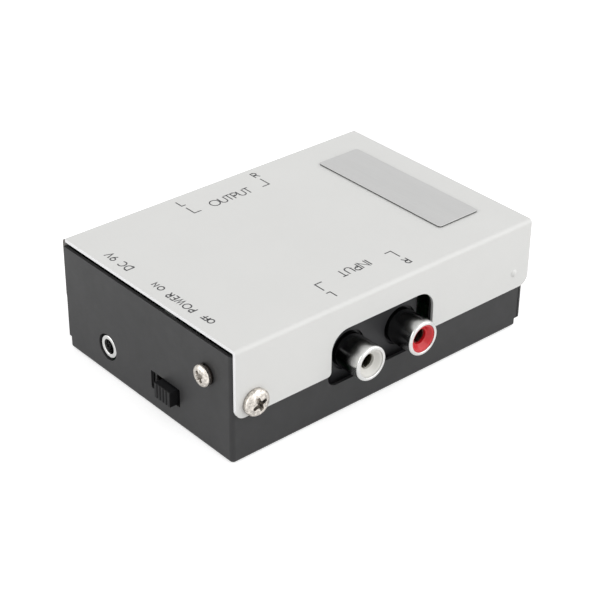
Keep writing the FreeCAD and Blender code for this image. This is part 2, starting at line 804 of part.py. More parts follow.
def switch_knob():
    """The sliding knob at OFF: a plate inside the frame and a ribbed key through both slots."""
    _, slider_front, slider_back, _, _ = switch_depths()
    y = switch_centre_y - switch_travel / 2
    axis_z = switch_axis_z()
    plate = box(slider_front, slider_back, y - slider_length / 2, y + slider_length / 2,
                axis_z - slider_height / 2, axis_z + slider_height / 2)
    face_x = near_face_x - knob_past_panel
    key = prism_x(rectangle(y - knob_length / 2, y + knob_length / 2,
                            axis_z - knob_height / 2, axis_z + knob_height / 2, 0.25), face_x, slider_front + 0.2)
    pitch = knob_length / knob_ribs
    for i in range(knob_ribs - 1):
        middle = y - knob_length / 2 + pitch * (i + 1)
        groove = prism_z([(face_x - 0.2, middle - 0.28 * pitch, 0), (face_x - 0.2, middle + 0.28 * pitch, 0),
                          (face_x + knob_rib_depth, middle + 0.12 * pitch, 0),
                          (face_x + knob_rib_depth, middle - 0.12 * pitch, 0)],
                         axis_z - knob_height, axis_z + knob_height)
        key = key.cut(groove)
    return key.fuse(plate).removeSplitter()


def switch_contact():
    """The sliding contact: a spring strip on the back of the knob with two raised feet."""
    _, _, slider_back, base_front, _ = switch_depths()
    y = switch_centre_y - switch_travel / 2
    strip = 0.25
    foot = base_front - 0.3
    half = switch_pin_pitch * 0.8
    profile = [(slider_back, y - half, 0), (slider_back + strip, y - half, 0),
               (slider_back + strip, y + half, 0), (slider_back, y + half, 0)]
    low_z = switch_axis_z() - 0.8
    high_z = switch_axis_z() + 0.8
    leaf = prism_z(profile, low_z, high_z)
    for side in (-1, 1):
        middle = y + side * switch_pin_pitch / 2
        rise = prism_z([(slider_back, middle - 0.9, 0), (foot, middle - 0.3, 0), (foot, middle + 0.3, 0),
                        (slider_back, middle + 0.9, 0)], low_z, high_z)
        leaf = leaf.fuse(rise)
    return leaf.removeSplitter()


def earth_terminal():
    """The earth terminal: screw, captive split washer and the tapped plate behind the panel."""
    out = V(-1, 0, 0)
    face = V(near_face_x - seat_clearance, earth_y, earth_z)
    washer = ring(earth_washer_radius, screw_hole_radius, earth_washer_thickness, face, out)
    washer = washer.cut(box(near_face_x - past, near_face_x + 1, earth_y - earth_washer_split / 2,
                            earth_y + earth_washer_split / 2, earth_z, earth_z + past))
    under_head = face + out * (earth_washer_thickness + seat_clearance)
    screw = aimed(pan_screw(earth_head_radius, earth_head_height, earth_screw_length), under_head, out)
    half = earth_plate_width / 2
    low_z = earth_z - earth_plate_height / 2
    plate = prism_x([(earth_y - half, low_z, 0.8), (earth_y - earth_tab_width / 2, low_z, 0),
                     (earth_y - earth_tab_width / 2, low_z - earth_tab_length, 0.4),
                     (earth_y + earth_tab_width / 2, low_z - earth_tab_length, 0.4),
                     (earth_y + earth_tab_width / 2, low_z, 0), (earth_y + half, low_z, 0.8),
                     (earth_y + half, earth_z + earth_plate_height / 2, 0.8),
                     (earth_y - half, earth_z + earth_plate_height / 2, 0.8)],
                    near_inner_x, near_inner_x + earth_plate_thickness)
    inner = V(near_inner_x, earth_y, earth_z)
    boss = rod(earth_boss_radius, earth_plate_thickness + earth_boss_height, inner, X_AXIS)
    plate = plate.fuse(boss).removeSplitter().cut(rod(thread_radius, 2 * past, inner - X_AXIS, X_AXIS))
    return {"earth_screw": screw, "earth_washer": washer, "earth_nut_plate": plate}


def earth_lead_x():
    """The distance along X at which the earth lead meets the board."""
    return near_inner_x + earth_plate_thickness + earth_lead_radius + seat_clearance + earth_lead_run


def earth_lead():
    """The insulated lead from the solder tab down to the board."""
    tab_x = earth_lead_x() - earth_lead_run
    top_z = earth_z - earth_plate_height / 2
    turn_z = (top_z + board_top) / 2
    points = [V(tab_x, earth_y, top_z - 0.3), V(tab_x, earth_y, turn_z), V(earth_lead_x(), earth_y, turn_z),
              V(earth_lead_x(), earth_y, board_top)]
    return wire_run(points, earth_lead_radius, earth_lead_bend)


def resistor_places():
    """Plan positions of the resistors: one row behind each socket block."""
    row_y = block_back_y - resistor_row_gap - resistor_radius
    first = -(resistor_count_per_side - 1) / 2
    xs = [jack_centre_x + (first + i) * resistor_pitch for i in range(resistor_count_per_side)]
    return [(x, side * row_y) for side in (-1, 1) for x in xs]


def axial_leads(x, y, span, height):
    """The two bent leads of an axial component: pairs of points down each side."""
    return [[V(x + side * 0.1, y, height), V(x + side * span / 2, y, height),
             V(x + side * span / 2, y, lead_end)]
            for side in (-1, 1)]


def resistors():
    """Axial resistors lying over the board, bodies and leads apart."""
    bodies = []
    leads = []
    height = board_top + resistor_above_board + resistor_radius
    half = resistor_length / 2
    waist = 0.82 * resistor_radius
    hole = lead_radius + 0.02
    for x, y in resistor_places():
        outline = [(hole, 0), (0.8 * resistor_radius, 0), (resistor_radius, 0.3), (resistor_radius, 1.3), (waist, 1.8),
                   (waist, 2 * half - 1.8), (resistor_radius, 2 * half - 1.3), (resistor_radius, 2 * half - 0.3),
                   (0.8 * resistor_radius, 2 * half), (hole, 2 * half)]
        bodies.append(turned(outline, V(x - half, y, height), X_AXIS))
        for points in axial_leads(x, y, resistor_span, height):
            leads.append(wire_run(points, lead_radius, lead_bend))
    return bodies, leads


def quad_places(offset_x, offset_y):
    """Four plan positions mirrored about the middle of the sockets."""
    return [(jack_centre_x + sx * offset_x, sy * offset_y) for sx in (-1, 1) for sy in (-1, 1)]


def film_capacitors():
    """Box film capacitors of the equaliser, each on two leads."""
    made = []
    for x, y in quad_places(film_offset_x, film_offset_y):
        case = prism_z(rectangle(x - film_width / 2, x + film_width / 2, y - film_length / 2, y + film_length / 2, 0.4),
                       board_top, board_top + film_height)
        for side in (-1, 1):
            case = case.fuse(rod(lead_radius, board_top - lead_end + 1, V(x, y + side * film_lead_span / 2, lead_end),
                                 Z_AXIS))
        made.append(case.removeSplitter())
    return made


def radial_capacitor(x, y, radius, height):
    """An electrolytic can with its crimp, top rim and two leads."""
    crimp = 1.6
    outline = [(0, 0), (radius - 0.3, 0), (radius, 0.3), (radius, crimp - 0.4), (radius - 0.35, crimp),
               (radius, crimp + 0.4), (radius, height - 0.4), (radius - 0.4, height), (radius - 0.7, height),
               (radius - 0.7, height - 0.15), (0, height - 0.15)]
    can = turned(outline, V(x, y, board_top), Z_AXIS)
    for side in (-1, 1):
        can = can.fuse(rod(lead_radius, board_top - lead_end + 1, V(x, y + side * radial_lead_span / 2, lead_end),
                           Z_AXIS))
    return can.removeSplitter()


def supply_places():
    """Plan positions of the two supply capacitors, towards the plain end."""
    return [(jack_centre_x + supply_offset_x, side * supply_offset_y) for side in (-1, 1)]


def chip_leg_places():
    """Plan positions of the eight legs of the op-amp."""
    xs = [jack_centre_x + (i - 1.5) * chip_leg_pitch for i in range(4)]
    return [(x, side * chip_leg_row / 2) for x in xs for side in (-1, 1)]


def op_amp():
    """The dual op-amp: tapered case with a pin-one notch, and its eight bent legs."""
    low_z = board_top + chip_standoff
    mid_z = low_z + chip_height / 2
    draft = 0.25
    half_x = chip_length / 2
    half_y = chip_width / 2
    case = prism_x([(-half_y + draft, low_z, 0), (half_y - draft, low_z, 0), (half_y, mid_z, 0),
                    (half_y - draft, low_z + chip_height, 0), (-half_y + draft, low_z + chip_height, 0),
                    (-half_y, mid_z, 0)], jack_centre_x - half_x, jack_centre_x + half_x)
    case = case.cut(rod(0.8, 1.0, V(jack_centre_x - half_x, 0, low_z + chip_height - 0.4), Z_AXIS))
    legs = []
    for x, y in chip_leg_places():
        side = 1 if y > 0 else -1
        inner = side * half_y
        thick = 0.25
        shoulder = box(x - 0.7, x + 0.7, min(inner, y + side * thick / 2), max(inner, y + side * thick / 2),
                       mid_z - thick / 2, mid_z + thick / 2)
        upper = box(x - 0.7, x + 0.7, y - thick / 2, y + thick / 2, board_top, mid_z)
        lower = box(x - chip_leg_width / 2, x + chip_leg_width / 2, y - thick / 2, y + thick / 2,
                    lead_end, board_top + 0.1)
        legs.append(shoulder.fuse([upper, lower]).removeSplitter())
    return case, legs


def regulator_place():
    """Plan position of the supply regulator."""
    return jack_centre_x - regulator_offset_x, -regulator_offset_y


def regulator():
    """The supply regulator: a flat-fronted case on three legs."""
    x, y = regulator_place()
    low_z = board_top + regulator_standoff
    case = rod(regulator_radius, regulator_height, V(x, y, low_z), Z_AXIS)
    case = case.cut(box(x - past, x - regulator_flat, y - past, y + past,
                        low_z - 1, low_z + regulator_height + 1))
    for step in (-1, 0, 1):
        leg = box(x - 0.2, x + 0.2, y + step * 1.27 - 0.22, y + step * 1.27 + 0.22, lead_end, low_z + 0.5)
        case = case.fuse(leg)
    return case.removeSplitter()


def diode_place():
    """Plan position of the polarity diode, beside the regulator."""
    return jack_centre_x - diode_offset_x, diode_offset_y


def diode():
    """The polarity diode lying over the board, with both leads."""
    x, y = diode_place()
    height = board_top + resistor_above_board + diode_radius
    body = rod(diode_radius, diode_length, V(x - diode_length / 2, y, height), X_AXIS)
    for points in axial_leads(x, y, diode_span, height):
        body = body.fuse(wire_run(points, lead_radius, lead_bend))
    return body.removeSplitter()


def board():
    """The circuit board with a hole for every screw, pin, tail and lead."""
    blank = prism_z(rectangle(board_near_x, board_far_x, -board_edge_y, board_edge_y, board_corner_radius),
                    board_bottom, board_top)
    lead_hole = lead_radius + lead_hole_clearance
    holes = []
    for x, y in standoff_places():
        holes.append((x, y, screw_hole_radius))
    tail_hole = math.hypot(tail_width, tail_thickness) / 2 + lead_hole_clearance
    for x in jack_places().values():
        for side in (-1, 1):
            holes.append((x, -side * earth_tail_y(), tail_hole))
            holes.append((x, -side * contact_tail_y(), tail_hole))
    for x, y in resistor_places():
        holes.extend((x + side * resistor_span / 2, y, lead_hole) for side in (-1, 1))
    for x, y in quad_places(film_offset_x, film_offset_y):
        holes.extend((x, y + side * film_lead_span / 2, lead_hole) for side in (-1, 1))
    radials = quad_places(coupling_offset_x, coupling_offset_y) + supply_places()
    for x, y in radials:
        holes.extend((x, y + side * radial_lead_span / 2, lead_hole) for side in (-1, 1))
    leg_hole = chip_leg_width / 2 + lead_hole_clearance
    holes.extend((x, y, leg_hole) for x, y in chip_leg_places())
    x, y = regulator_place()
    holes.extend((x, y + step * 1.27, 0.45) for step in (-1, 0, 1))
    x, y = diode_place()
    holes.extend((x + side * diode_span / 2, y, lead_hole) for side in (-1, 1))
    holes.extend((x, y, 0.6) for x, y in switch_pin_places())
    pin_hole = dc_spring_width / 2 + lead_hole_clearance
    holes.extend((x, y, pin_hole) for x, y in dc_pin_places())
    drills = [rod(radius, board_thickness + past, V(x, y, board_bottom - 1), Z_AXIS)
              for x, y, radius in holes]
    return blank.cut(Part.makeCompound(drills))


def build():
    """Every node of the preamp by name."""
    nodes = {
        "top_cover": cover(),
        "blank_plate": blank_plate(),
        "base_tray": tray(),
        "cover_screw_input_side": cover_screw(-1),
        "cover_screw_output_side": cover_screw(1),
        "cover_screw_nuts": cover_nuts(),
        "board_standoffs": standoffs(),
        "board_screws": board_screws(),
        "circuit_board": board(),
    }
    block = jack_block()
    nodes["input_jack_block"] = block
    nodes["output_jack_block"] = mirrored(block)
    for place, x in jack_places().items():
        pieces = {"sleeve": jack_sleeve(x), "insert": jack_insert(x), "contact": jack_contact(x)}
        for piece, shape in pieces.items():
            nodes[f"input_{place}_{piece}"] = shape
            nodes[f"output_{place}_{piece}"] = mirrored(shape)
    nodes.update(dc_socket())
    nodes["power_switch_frame"] = switch_frame()
    nodes["power_switch_base"] = switch_base()
    nodes["power_switch_terminals"] = switch_terminals()
    nodes["power_switch_knob"] = switch_knob()
    nodes["power_switch_contact"] = switch_contact()
    nodes.update(earth_terminal())
    nodes["earth_lead"] = earth_lead()
    nodes["resistor_bodies"], nodes["resistor_leads"] = resistors()
    nodes["equaliser_capacitors"] = film_capacitors()
    nodes["coupling_capacitors"] = [radial_capacitor(x, y, coupling_radius, coupling_height)
                                    for x, y in quad_places(coupling_offset_x, coupling_offset_y)]
    nodes["supply_capacitors"] = [radial_capacitor(x, y, supply_radius, supply_height)
                                  for x, y in supply_places()]
    nodes["op_amp_case"], nodes["op_amp_legs"] = op_amp()
    nodes["supply_regulator"] = regulator()
    nodes["polarity_diode"] = diode()
    return nodes


def save(nodes):
    """Writes each node to its own file and prints its solids, volume and box."""
    os.makedirs("parts", exist_ok=True)
    for name, shape in nodes.items():
        whole = Part.makeCompound(shape) if isinstance(shape, list) else shape
        whole.exportStep(f"parts/{name}.step")
        size = whole.BoundBox
        print(f"{name}: {len(whole.Solids)} solids, {whole.Volume:.1f} mm3, valid {whole.isValid()}, "
              f"x {size.XMin:.2f}..{size.XMax:.2f} y {size.YMin:.2f}..{size.YMax:.2f} "
              f"z {size.ZMin:.2f}..{size.ZMax:.2f}")


save(build())
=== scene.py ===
"""Looks of a small phono preamp in a two-piece sheet-metal case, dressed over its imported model.

Lengths in the classes are millimetres in the model's own frame: +X along the case towards its plain end, -Y towards
the input sockets, +Z up, with the origin on the resting face below the middle of the cover.
"""
import sys

import json
import logging
import math
from dataclasses import dataclass, field
from enum import Enum
from typing import Callable, Iterable, Sequence

import bmesh
import bpy
from mathutils import Matrix, Vector

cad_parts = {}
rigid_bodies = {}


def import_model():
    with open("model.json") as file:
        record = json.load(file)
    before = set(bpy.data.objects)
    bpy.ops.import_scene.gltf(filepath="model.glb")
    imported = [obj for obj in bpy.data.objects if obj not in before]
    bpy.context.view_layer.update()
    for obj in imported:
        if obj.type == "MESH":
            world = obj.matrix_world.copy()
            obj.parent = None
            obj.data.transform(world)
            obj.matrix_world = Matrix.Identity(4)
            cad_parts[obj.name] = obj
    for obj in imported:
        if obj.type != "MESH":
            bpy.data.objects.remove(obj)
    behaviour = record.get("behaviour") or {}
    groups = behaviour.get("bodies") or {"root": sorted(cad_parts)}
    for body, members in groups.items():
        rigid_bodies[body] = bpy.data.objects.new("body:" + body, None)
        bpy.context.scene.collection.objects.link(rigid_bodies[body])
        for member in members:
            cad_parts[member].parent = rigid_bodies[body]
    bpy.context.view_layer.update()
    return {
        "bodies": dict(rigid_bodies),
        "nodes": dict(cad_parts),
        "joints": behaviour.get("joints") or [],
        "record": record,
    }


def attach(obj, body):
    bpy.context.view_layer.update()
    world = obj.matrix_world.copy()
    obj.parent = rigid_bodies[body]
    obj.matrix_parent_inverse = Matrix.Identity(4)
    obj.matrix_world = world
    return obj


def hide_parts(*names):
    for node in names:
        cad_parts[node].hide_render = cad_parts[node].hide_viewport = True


MM = 0.001
CREASE = math.radians(32)
WELD_DISTANCE = 0.0005
COAT_ROUGHNESS = 0.12
LOG = logging.getLogger("preamp")
Corner = tuple[float, float, float]
Triple = tuple[float, float, float]
Pair = tuple[float, float]
WHITE = (1, 1, 1, 1)
DUST = (0.55, 0.53, 0.50, 1)
# Colour of the painted shade laid into recesses.
PAINTED_SHADE = (0.020, 0.015, 0.012, 1)


class Body(Enum):
    """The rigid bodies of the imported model."""

    CASE = "case"
    SWITCH = "power_switch"
    WASHER = "earth_washer"
    EARTH_SCREW = "earth_screw"


class Slot(Enum):
    """The finishes of the preamp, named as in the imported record."""

    COVER = "cover_paint"
    TRAY = "tray_paint"
    PLATE = "plate_metal"
    SCREW = "screw_nickel"
    ZINC = "zinc_steel"
    MOULDING = "socket_moulding"
    SLEEVE = "sleeve_plating"
    WHITE = "insert_white"
    RED = "insert_red"
    CONTACT = "contact_brass"
    BOARD = "board_laminate"
    KNOB = "knob_plastic"
    FIBRE = "base_fibre"
    LEAD = "lead_tin"
    INSULATION = "lead_insulation"
    RESISTOR = "resistor_lacquer"
    FILM = "film_case"
    CAN = "can_sleeve"
    CHIP = "chip_epoxy"
    DIODE = "diode_epoxy"


# ---- Mesh tools


def rounded_outline(corners: Sequence[Corner], steps: int = 10) -> list[Vector]:
    """Rounds each corner of a closed outline by its own radius.

    Args:
        corners: (u, v, radius) of each corner in order.
        steps: Straight pieces along each rounded corner.

    Returns:
        The points of the outline, in the same order.
    """
    points = []
    count = len(corners)
    for i, (u, v, radius) in enumerate(corners):
        here = Vector((u, v))
        if radius <= 0:
            points.append(here)
            continue
        back = (Vector(corners[i - 1][:2]) - here).normalized()
        ahead = (Vector(corners[(i + 1) % count][:2]) - here).normalized()
        half = back.angle(ahead) / 2
        centre = here + (back + ahead).normalized() * (radius / math.sin(half))
        reach = radius / math.tan(half)
        start = here + back * reach - centre
        end = here + ahead * reach - centre
        first = math.atan2(start.y, start.x)
        sweep = (math.atan2(end.y, end.x) - first + math.pi) % (2 * math.pi) - math.pi
        for k in range(steps + 1):
            angle = first + sweep * k / steps
            points.append(centre + Vector((math.cos(angle), math.sin(angle))) * radius)
    return points


def rectangle(u0: float, u1: float, v0: float, v1: float, radius: float) -> list[Corner]:
    """The corners of a rectangle that share one radius."""
    return [(u0, v0, radius), (u1, v0, radius), (u1, v1, radius), (u0, v1, radius)]


def circle(u: float, v: float, radius: float, steps: int = 40) -> list[Vector]:
    """The points of a circle."""
    turns = (2 * math.pi * k / steps for k in range(steps))
    return [Vector((u + radius * math.cos(a), v + radius * math.sin(a))) for a in turns]


def arc(centre: Pair, radii: Pair, start: float, end: float, steps: int = 8) -> list[Pair]:
    """The points of an elliptical arc between two angles in degrees."""
    points = []
    for k in range(steps + 1):
        angle = math.radians(start + (end - start) * k / steps)
        points.append((centre[0] + radii[0] * math.cos(angle), centre[1] + radii[1] * math.sin(angle)))
    return points


def join_rings(mesh: bmesh.types.BMesh, rings: Sequence[Sequence[bmesh.types.BMVert]], closed: bool = False) -> None:
    """Joins neighbouring rings of vertices with faces.

    Args:
        mesh: The mesh that holds the vertices.
        rings: Rings in order; a ring of one vertex is a pole.
        closed: Whether the last ring joins the first.
    """
    pairs = list(zip(rings, rings[1:]))
    if closed:
        pairs.append((rings[-1], rings[0]))
    for low, high in pairs:
        count = max(len(low), len(high))
        if count == 1:
            continue
        for k in range(count):
            after = (k + 1) % count
            if len(low) == 1:
                mesh.faces.new((low[0], high[after], high[k]))
            elif len(high) == 1:
                mesh.faces.new((low[k], low[after], high[0]))
            else:
                mesh.faces.new((low[k], low[after], high[after], high[k]))


def lathe(profile: Sequence[Pair], base: Vector, direction: Vector, segments: int = 96) -> bmesh.types.BMesh:
    """Turns a closed profile about an axis.

    Args:
        profile: (radius, height) pairs in millimetres; a radius of 0 is a pole.
        base: The axis's foot, in millimetres.
        direction: The way that height grows.
        segments: Faces round the axis.

    Returns:
        The turned mesh, in metres.
    """
    mesh = bmesh.new()
    turn = Vector((0, 0, 1)).rotation_difference(direction).to_matrix()
    rings = []
    for radius, height in profile:
        count = segments if radius > 1e-6 else 1
        ring = []
        for k in range(count):
            angle = 2 * math.pi * k / segments
            spot = Vector((radius * math.cos(angle), radius * math.sin(angle), height))
            ring.append(mesh.verts.new((base + turn @ spot) * MM))
        rings.append(ring)
    poles = [i for i, ring in enumerate(rings) if len(ring) == 1]
    join_rings(mesh, rings, closed=len(poles) < 2)
    bmesh.ops.recalc_face_normals(mesh, faces=mesh.faces)
    return mesh


def prism(outline: Sequence[Vector], low: float, high: float, place: Callable[[float, float, float], Vector],
          ) -> bmesh.types.BMesh:
    """Raises a flat outline into a solid.

    Args:
        outline: The points of the outline.
        low: Where the solid starts along its depth.
        high: Where it ends.
        place: Turns (u, v, depth) into a point in millimetres.

    Returns:
        The solid mesh, in metres.
    """
    mesh = bmesh.new()
    rings = [[mesh.verts.new(place(p.x, p.y, depth) * MM) for p in outline] for depth in (low, high)]
    join_rings(mesh, rings)
    mesh.faces.new(rings[0])
    mesh.faces.new(rings[1])
    bmesh.ops.recalc_face_normals(mesh, faces=mesh.faces)
    return mesh


def along_x(u: float, v: float, depth: float) -> Vector:
    """Places a (y, z) outline with its depth along X."""
    return Vector((depth, u, v))


def along_y(u: float, v: float, depth: float) -> Vector:
    """Places an (x, z) outline with its depth along Y."""
    return Vector((u, depth, v))


def along_z(u: float, v: float, depth: float) -> Vector:
    """Places an (x, y) outline with its depth along Z."""
    return Vector((u, v, depth))


def merged(parts: Iterable[bmesh.types.BMesh]) -> bmesh.types.BMesh:
    """Puts several meshes into one and frees them."""
    whole = bmesh.new()
    for part in parts:
        copy = bpy.data.meshes.new("part")
        part.to_mesh(copy)
        part.free()
        whole.from_mesh(copy)
        bpy.data.meshes.remove(copy)
    return whole


@dataclass
class Workshop:
    """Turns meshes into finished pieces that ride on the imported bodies."""

    materials: dict[Slot, bpy.types.Material]
    made: int = 0

    def piece(self, name: str, mesh: bmesh.types.BMesh, slot: Slot, body: Body, replaces: Sequence[str] = (),
              bevel: float = 0.0, cutters: Sequence[bmesh.types.BMesh] = (), material: bpy.types.Material | None = None,
              ) -> bpy.types.Object:
        """Makes one piece of the object.

        Args:
            name: The piece's name.
            mesh: Its mesh in metres, which is freed.
            slot: The finish it takes.
            body: The body it rides on.
            replaces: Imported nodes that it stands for.
            bevel: Width of its softened edges in millimetres.
            cutters: Closed meshes that are cut out of it, which are freed.
            material: A material in place of the slot's own.

        Returns:
            The finished object.
        """
        thing = self.link(name, mesh)
        if cutters:
            self.cut(thing, cutters)
        thing.data.materials.clear()
        thing.data.materials.append(material or self.materials[slot])
        thing.data.shade_smooth()
        thing.data.set_sharp_from_angle(angle=CREASE)
        if bevel:
            self.soften(thing, bevel)
        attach(thing, body.value)
        if replaces:
            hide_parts(*replaces)
        self.made += 1
        LOG.info("piece %s: %d faces", name, len(thing.data.polygons))
        return thing

    @staticmethod
    def link(name: str, mesh: bmesh.types.BMesh) -> bpy.types.Object:
        """Puts a mesh into the scene as an object and frees it."""
        data = bpy.data.meshes.new(name)
        mesh.to_mesh(data)
        mesh.free()
        thing = bpy.data.objects.new(name, data)
        bpy.context.scene.collection.objects.link(thing)
        return thing

    def cut(self, thing: bpy.types.Object, cutters: Sequence[bmesh.types.BMesh]) -> None:
        """Cuts closed meshes out of an object and keeps the result as its mesh."""
        tools = []
        for i, cutter in enumerate(cutters):
            tool = self.link(f"cutter_{i}", cutter)
            change = thing.modifiers.new("cut", "BOOLEAN")
            change.operation = "DIFFERENCE"
            change.solver = "EXACT"
            change.object = tool
            tools.append(tool)
        bpy.context.view_layer.update()
        graph = bpy.context.evaluated_depsgraph_get()
        result = bpy.data.meshes.new_from_object(thing.evaluated_get(graph))
        thing.modifiers.clear()
        thing.data = result
        for tool in tools:
            bpy.data.objects.remove(tool)

    @staticmethod
    def soften(thing: bpy.types.Object, width: float) -> None:
        """Gives an object softened edges and even shading on its flat faces."""
        edge = thing.modifiers.new("softened_edges", "BEVEL")
        edge.width = width * MM
        edge.segments = 2
        edge.limit_method = "ANGLE"
        edge.angle_limit = CREASE
        edge.use_clamp_overlap = True
        even = thing.modifiers.new("even_shading", "WEIGHTED_NORMAL")
        even.keep_sharp = True
        even.weight = 80


# ---- Materials


class Graph:
    """Short ways to add and join the nodes of one node tree."""

    def __init__(self, tree: bpy.types.NodeTree) -> None:
        """Keeps the tree that nodes are added to."""
        self.tree = tree

    def add(self, kind: str, inputs: dict | None = None, **settings: object) -> bpy.types.Node:
        """Adds a node.

        Args:
            kind: The node's type name.
            inputs: A socket or a number for each named or numbered input.
            **settings: The node's own settings.

        Returns:
            The new node.
        """
        node = self.tree.nodes.new(kind)
        for name, value in settings.items():
            setattr(node, name, value)
        for name, value in (inputs or {}).items():
            self.feed(node.inputs[name], value)
        return node

    def feed(self, socket: bpy.types.NodeSocket, value: object) -> None:
        """Links a socket to another, or sets its plain value."""
        if isinstance(value, bpy.types.NodeSocket):
            self.tree.links.new(value, socket)
        else:
            socket.default_value = value

    def maths(self, operation: str, first: object, second: object = 0.0, clamp: bool = False) -> bpy.types.NodeSocket:
        """The result of a Math node on one or two values."""
        node = self.add("ShaderNodeMath", {0: first, 1: second}, operation=operation, use_clamp=clamp)
        return node.outputs[0]

    def blend(self, factor: object, first: object, second: object, how: str = "MIX") -> bpy.types.NodeSocket:
        """A colour between two colours."""
        node = self.add("ShaderNodeMix", {0: factor, 6: first, 7: second}, data_type="RGBA", blend_type=how)
        return node.outputs[2]

    def spread(self, value: object, low: float, high: float, to_low: object, to_high: object) -> bpy.types.NodeSocket:
        """A value carried from one range to another, kept within it."""
        node = self.add("ShaderNodeMapRange", {0: value, 1: low, 2: high, 3: to_low, 4: to_high}, clamp=True)
        return node.outputs[0]

    def place(self, stretch: Triple = (1, 1, 1)) -> bpy.types.NodeSocket:
        """The surface's own position in millimetres, stretched along the axes."""
        spot = self.add("ShaderNodeTexCoord").outputs["Object"]
        scale = tuple(1000 * s for s in stretch)
        return self.add("ShaderNodeVectorMath", {0: spot, 1: scale}, operation="MULTIPLY").outputs[0]

    def noise(self, scale: object, detail: float = 3.0, roughness: float = 0.55,
              stretch: Triple = (1, 1, 1)) -> bpy.types.NodeSocket:
        """Noise with a scale in cycles to the millimetre."""
        node = self.add("ShaderNodeTexNoise", {"Vector": self.place(stretch), "Scale": scale, "Detail": detail,
                                               "Roughness": roughness})
        return node.outputs[0]


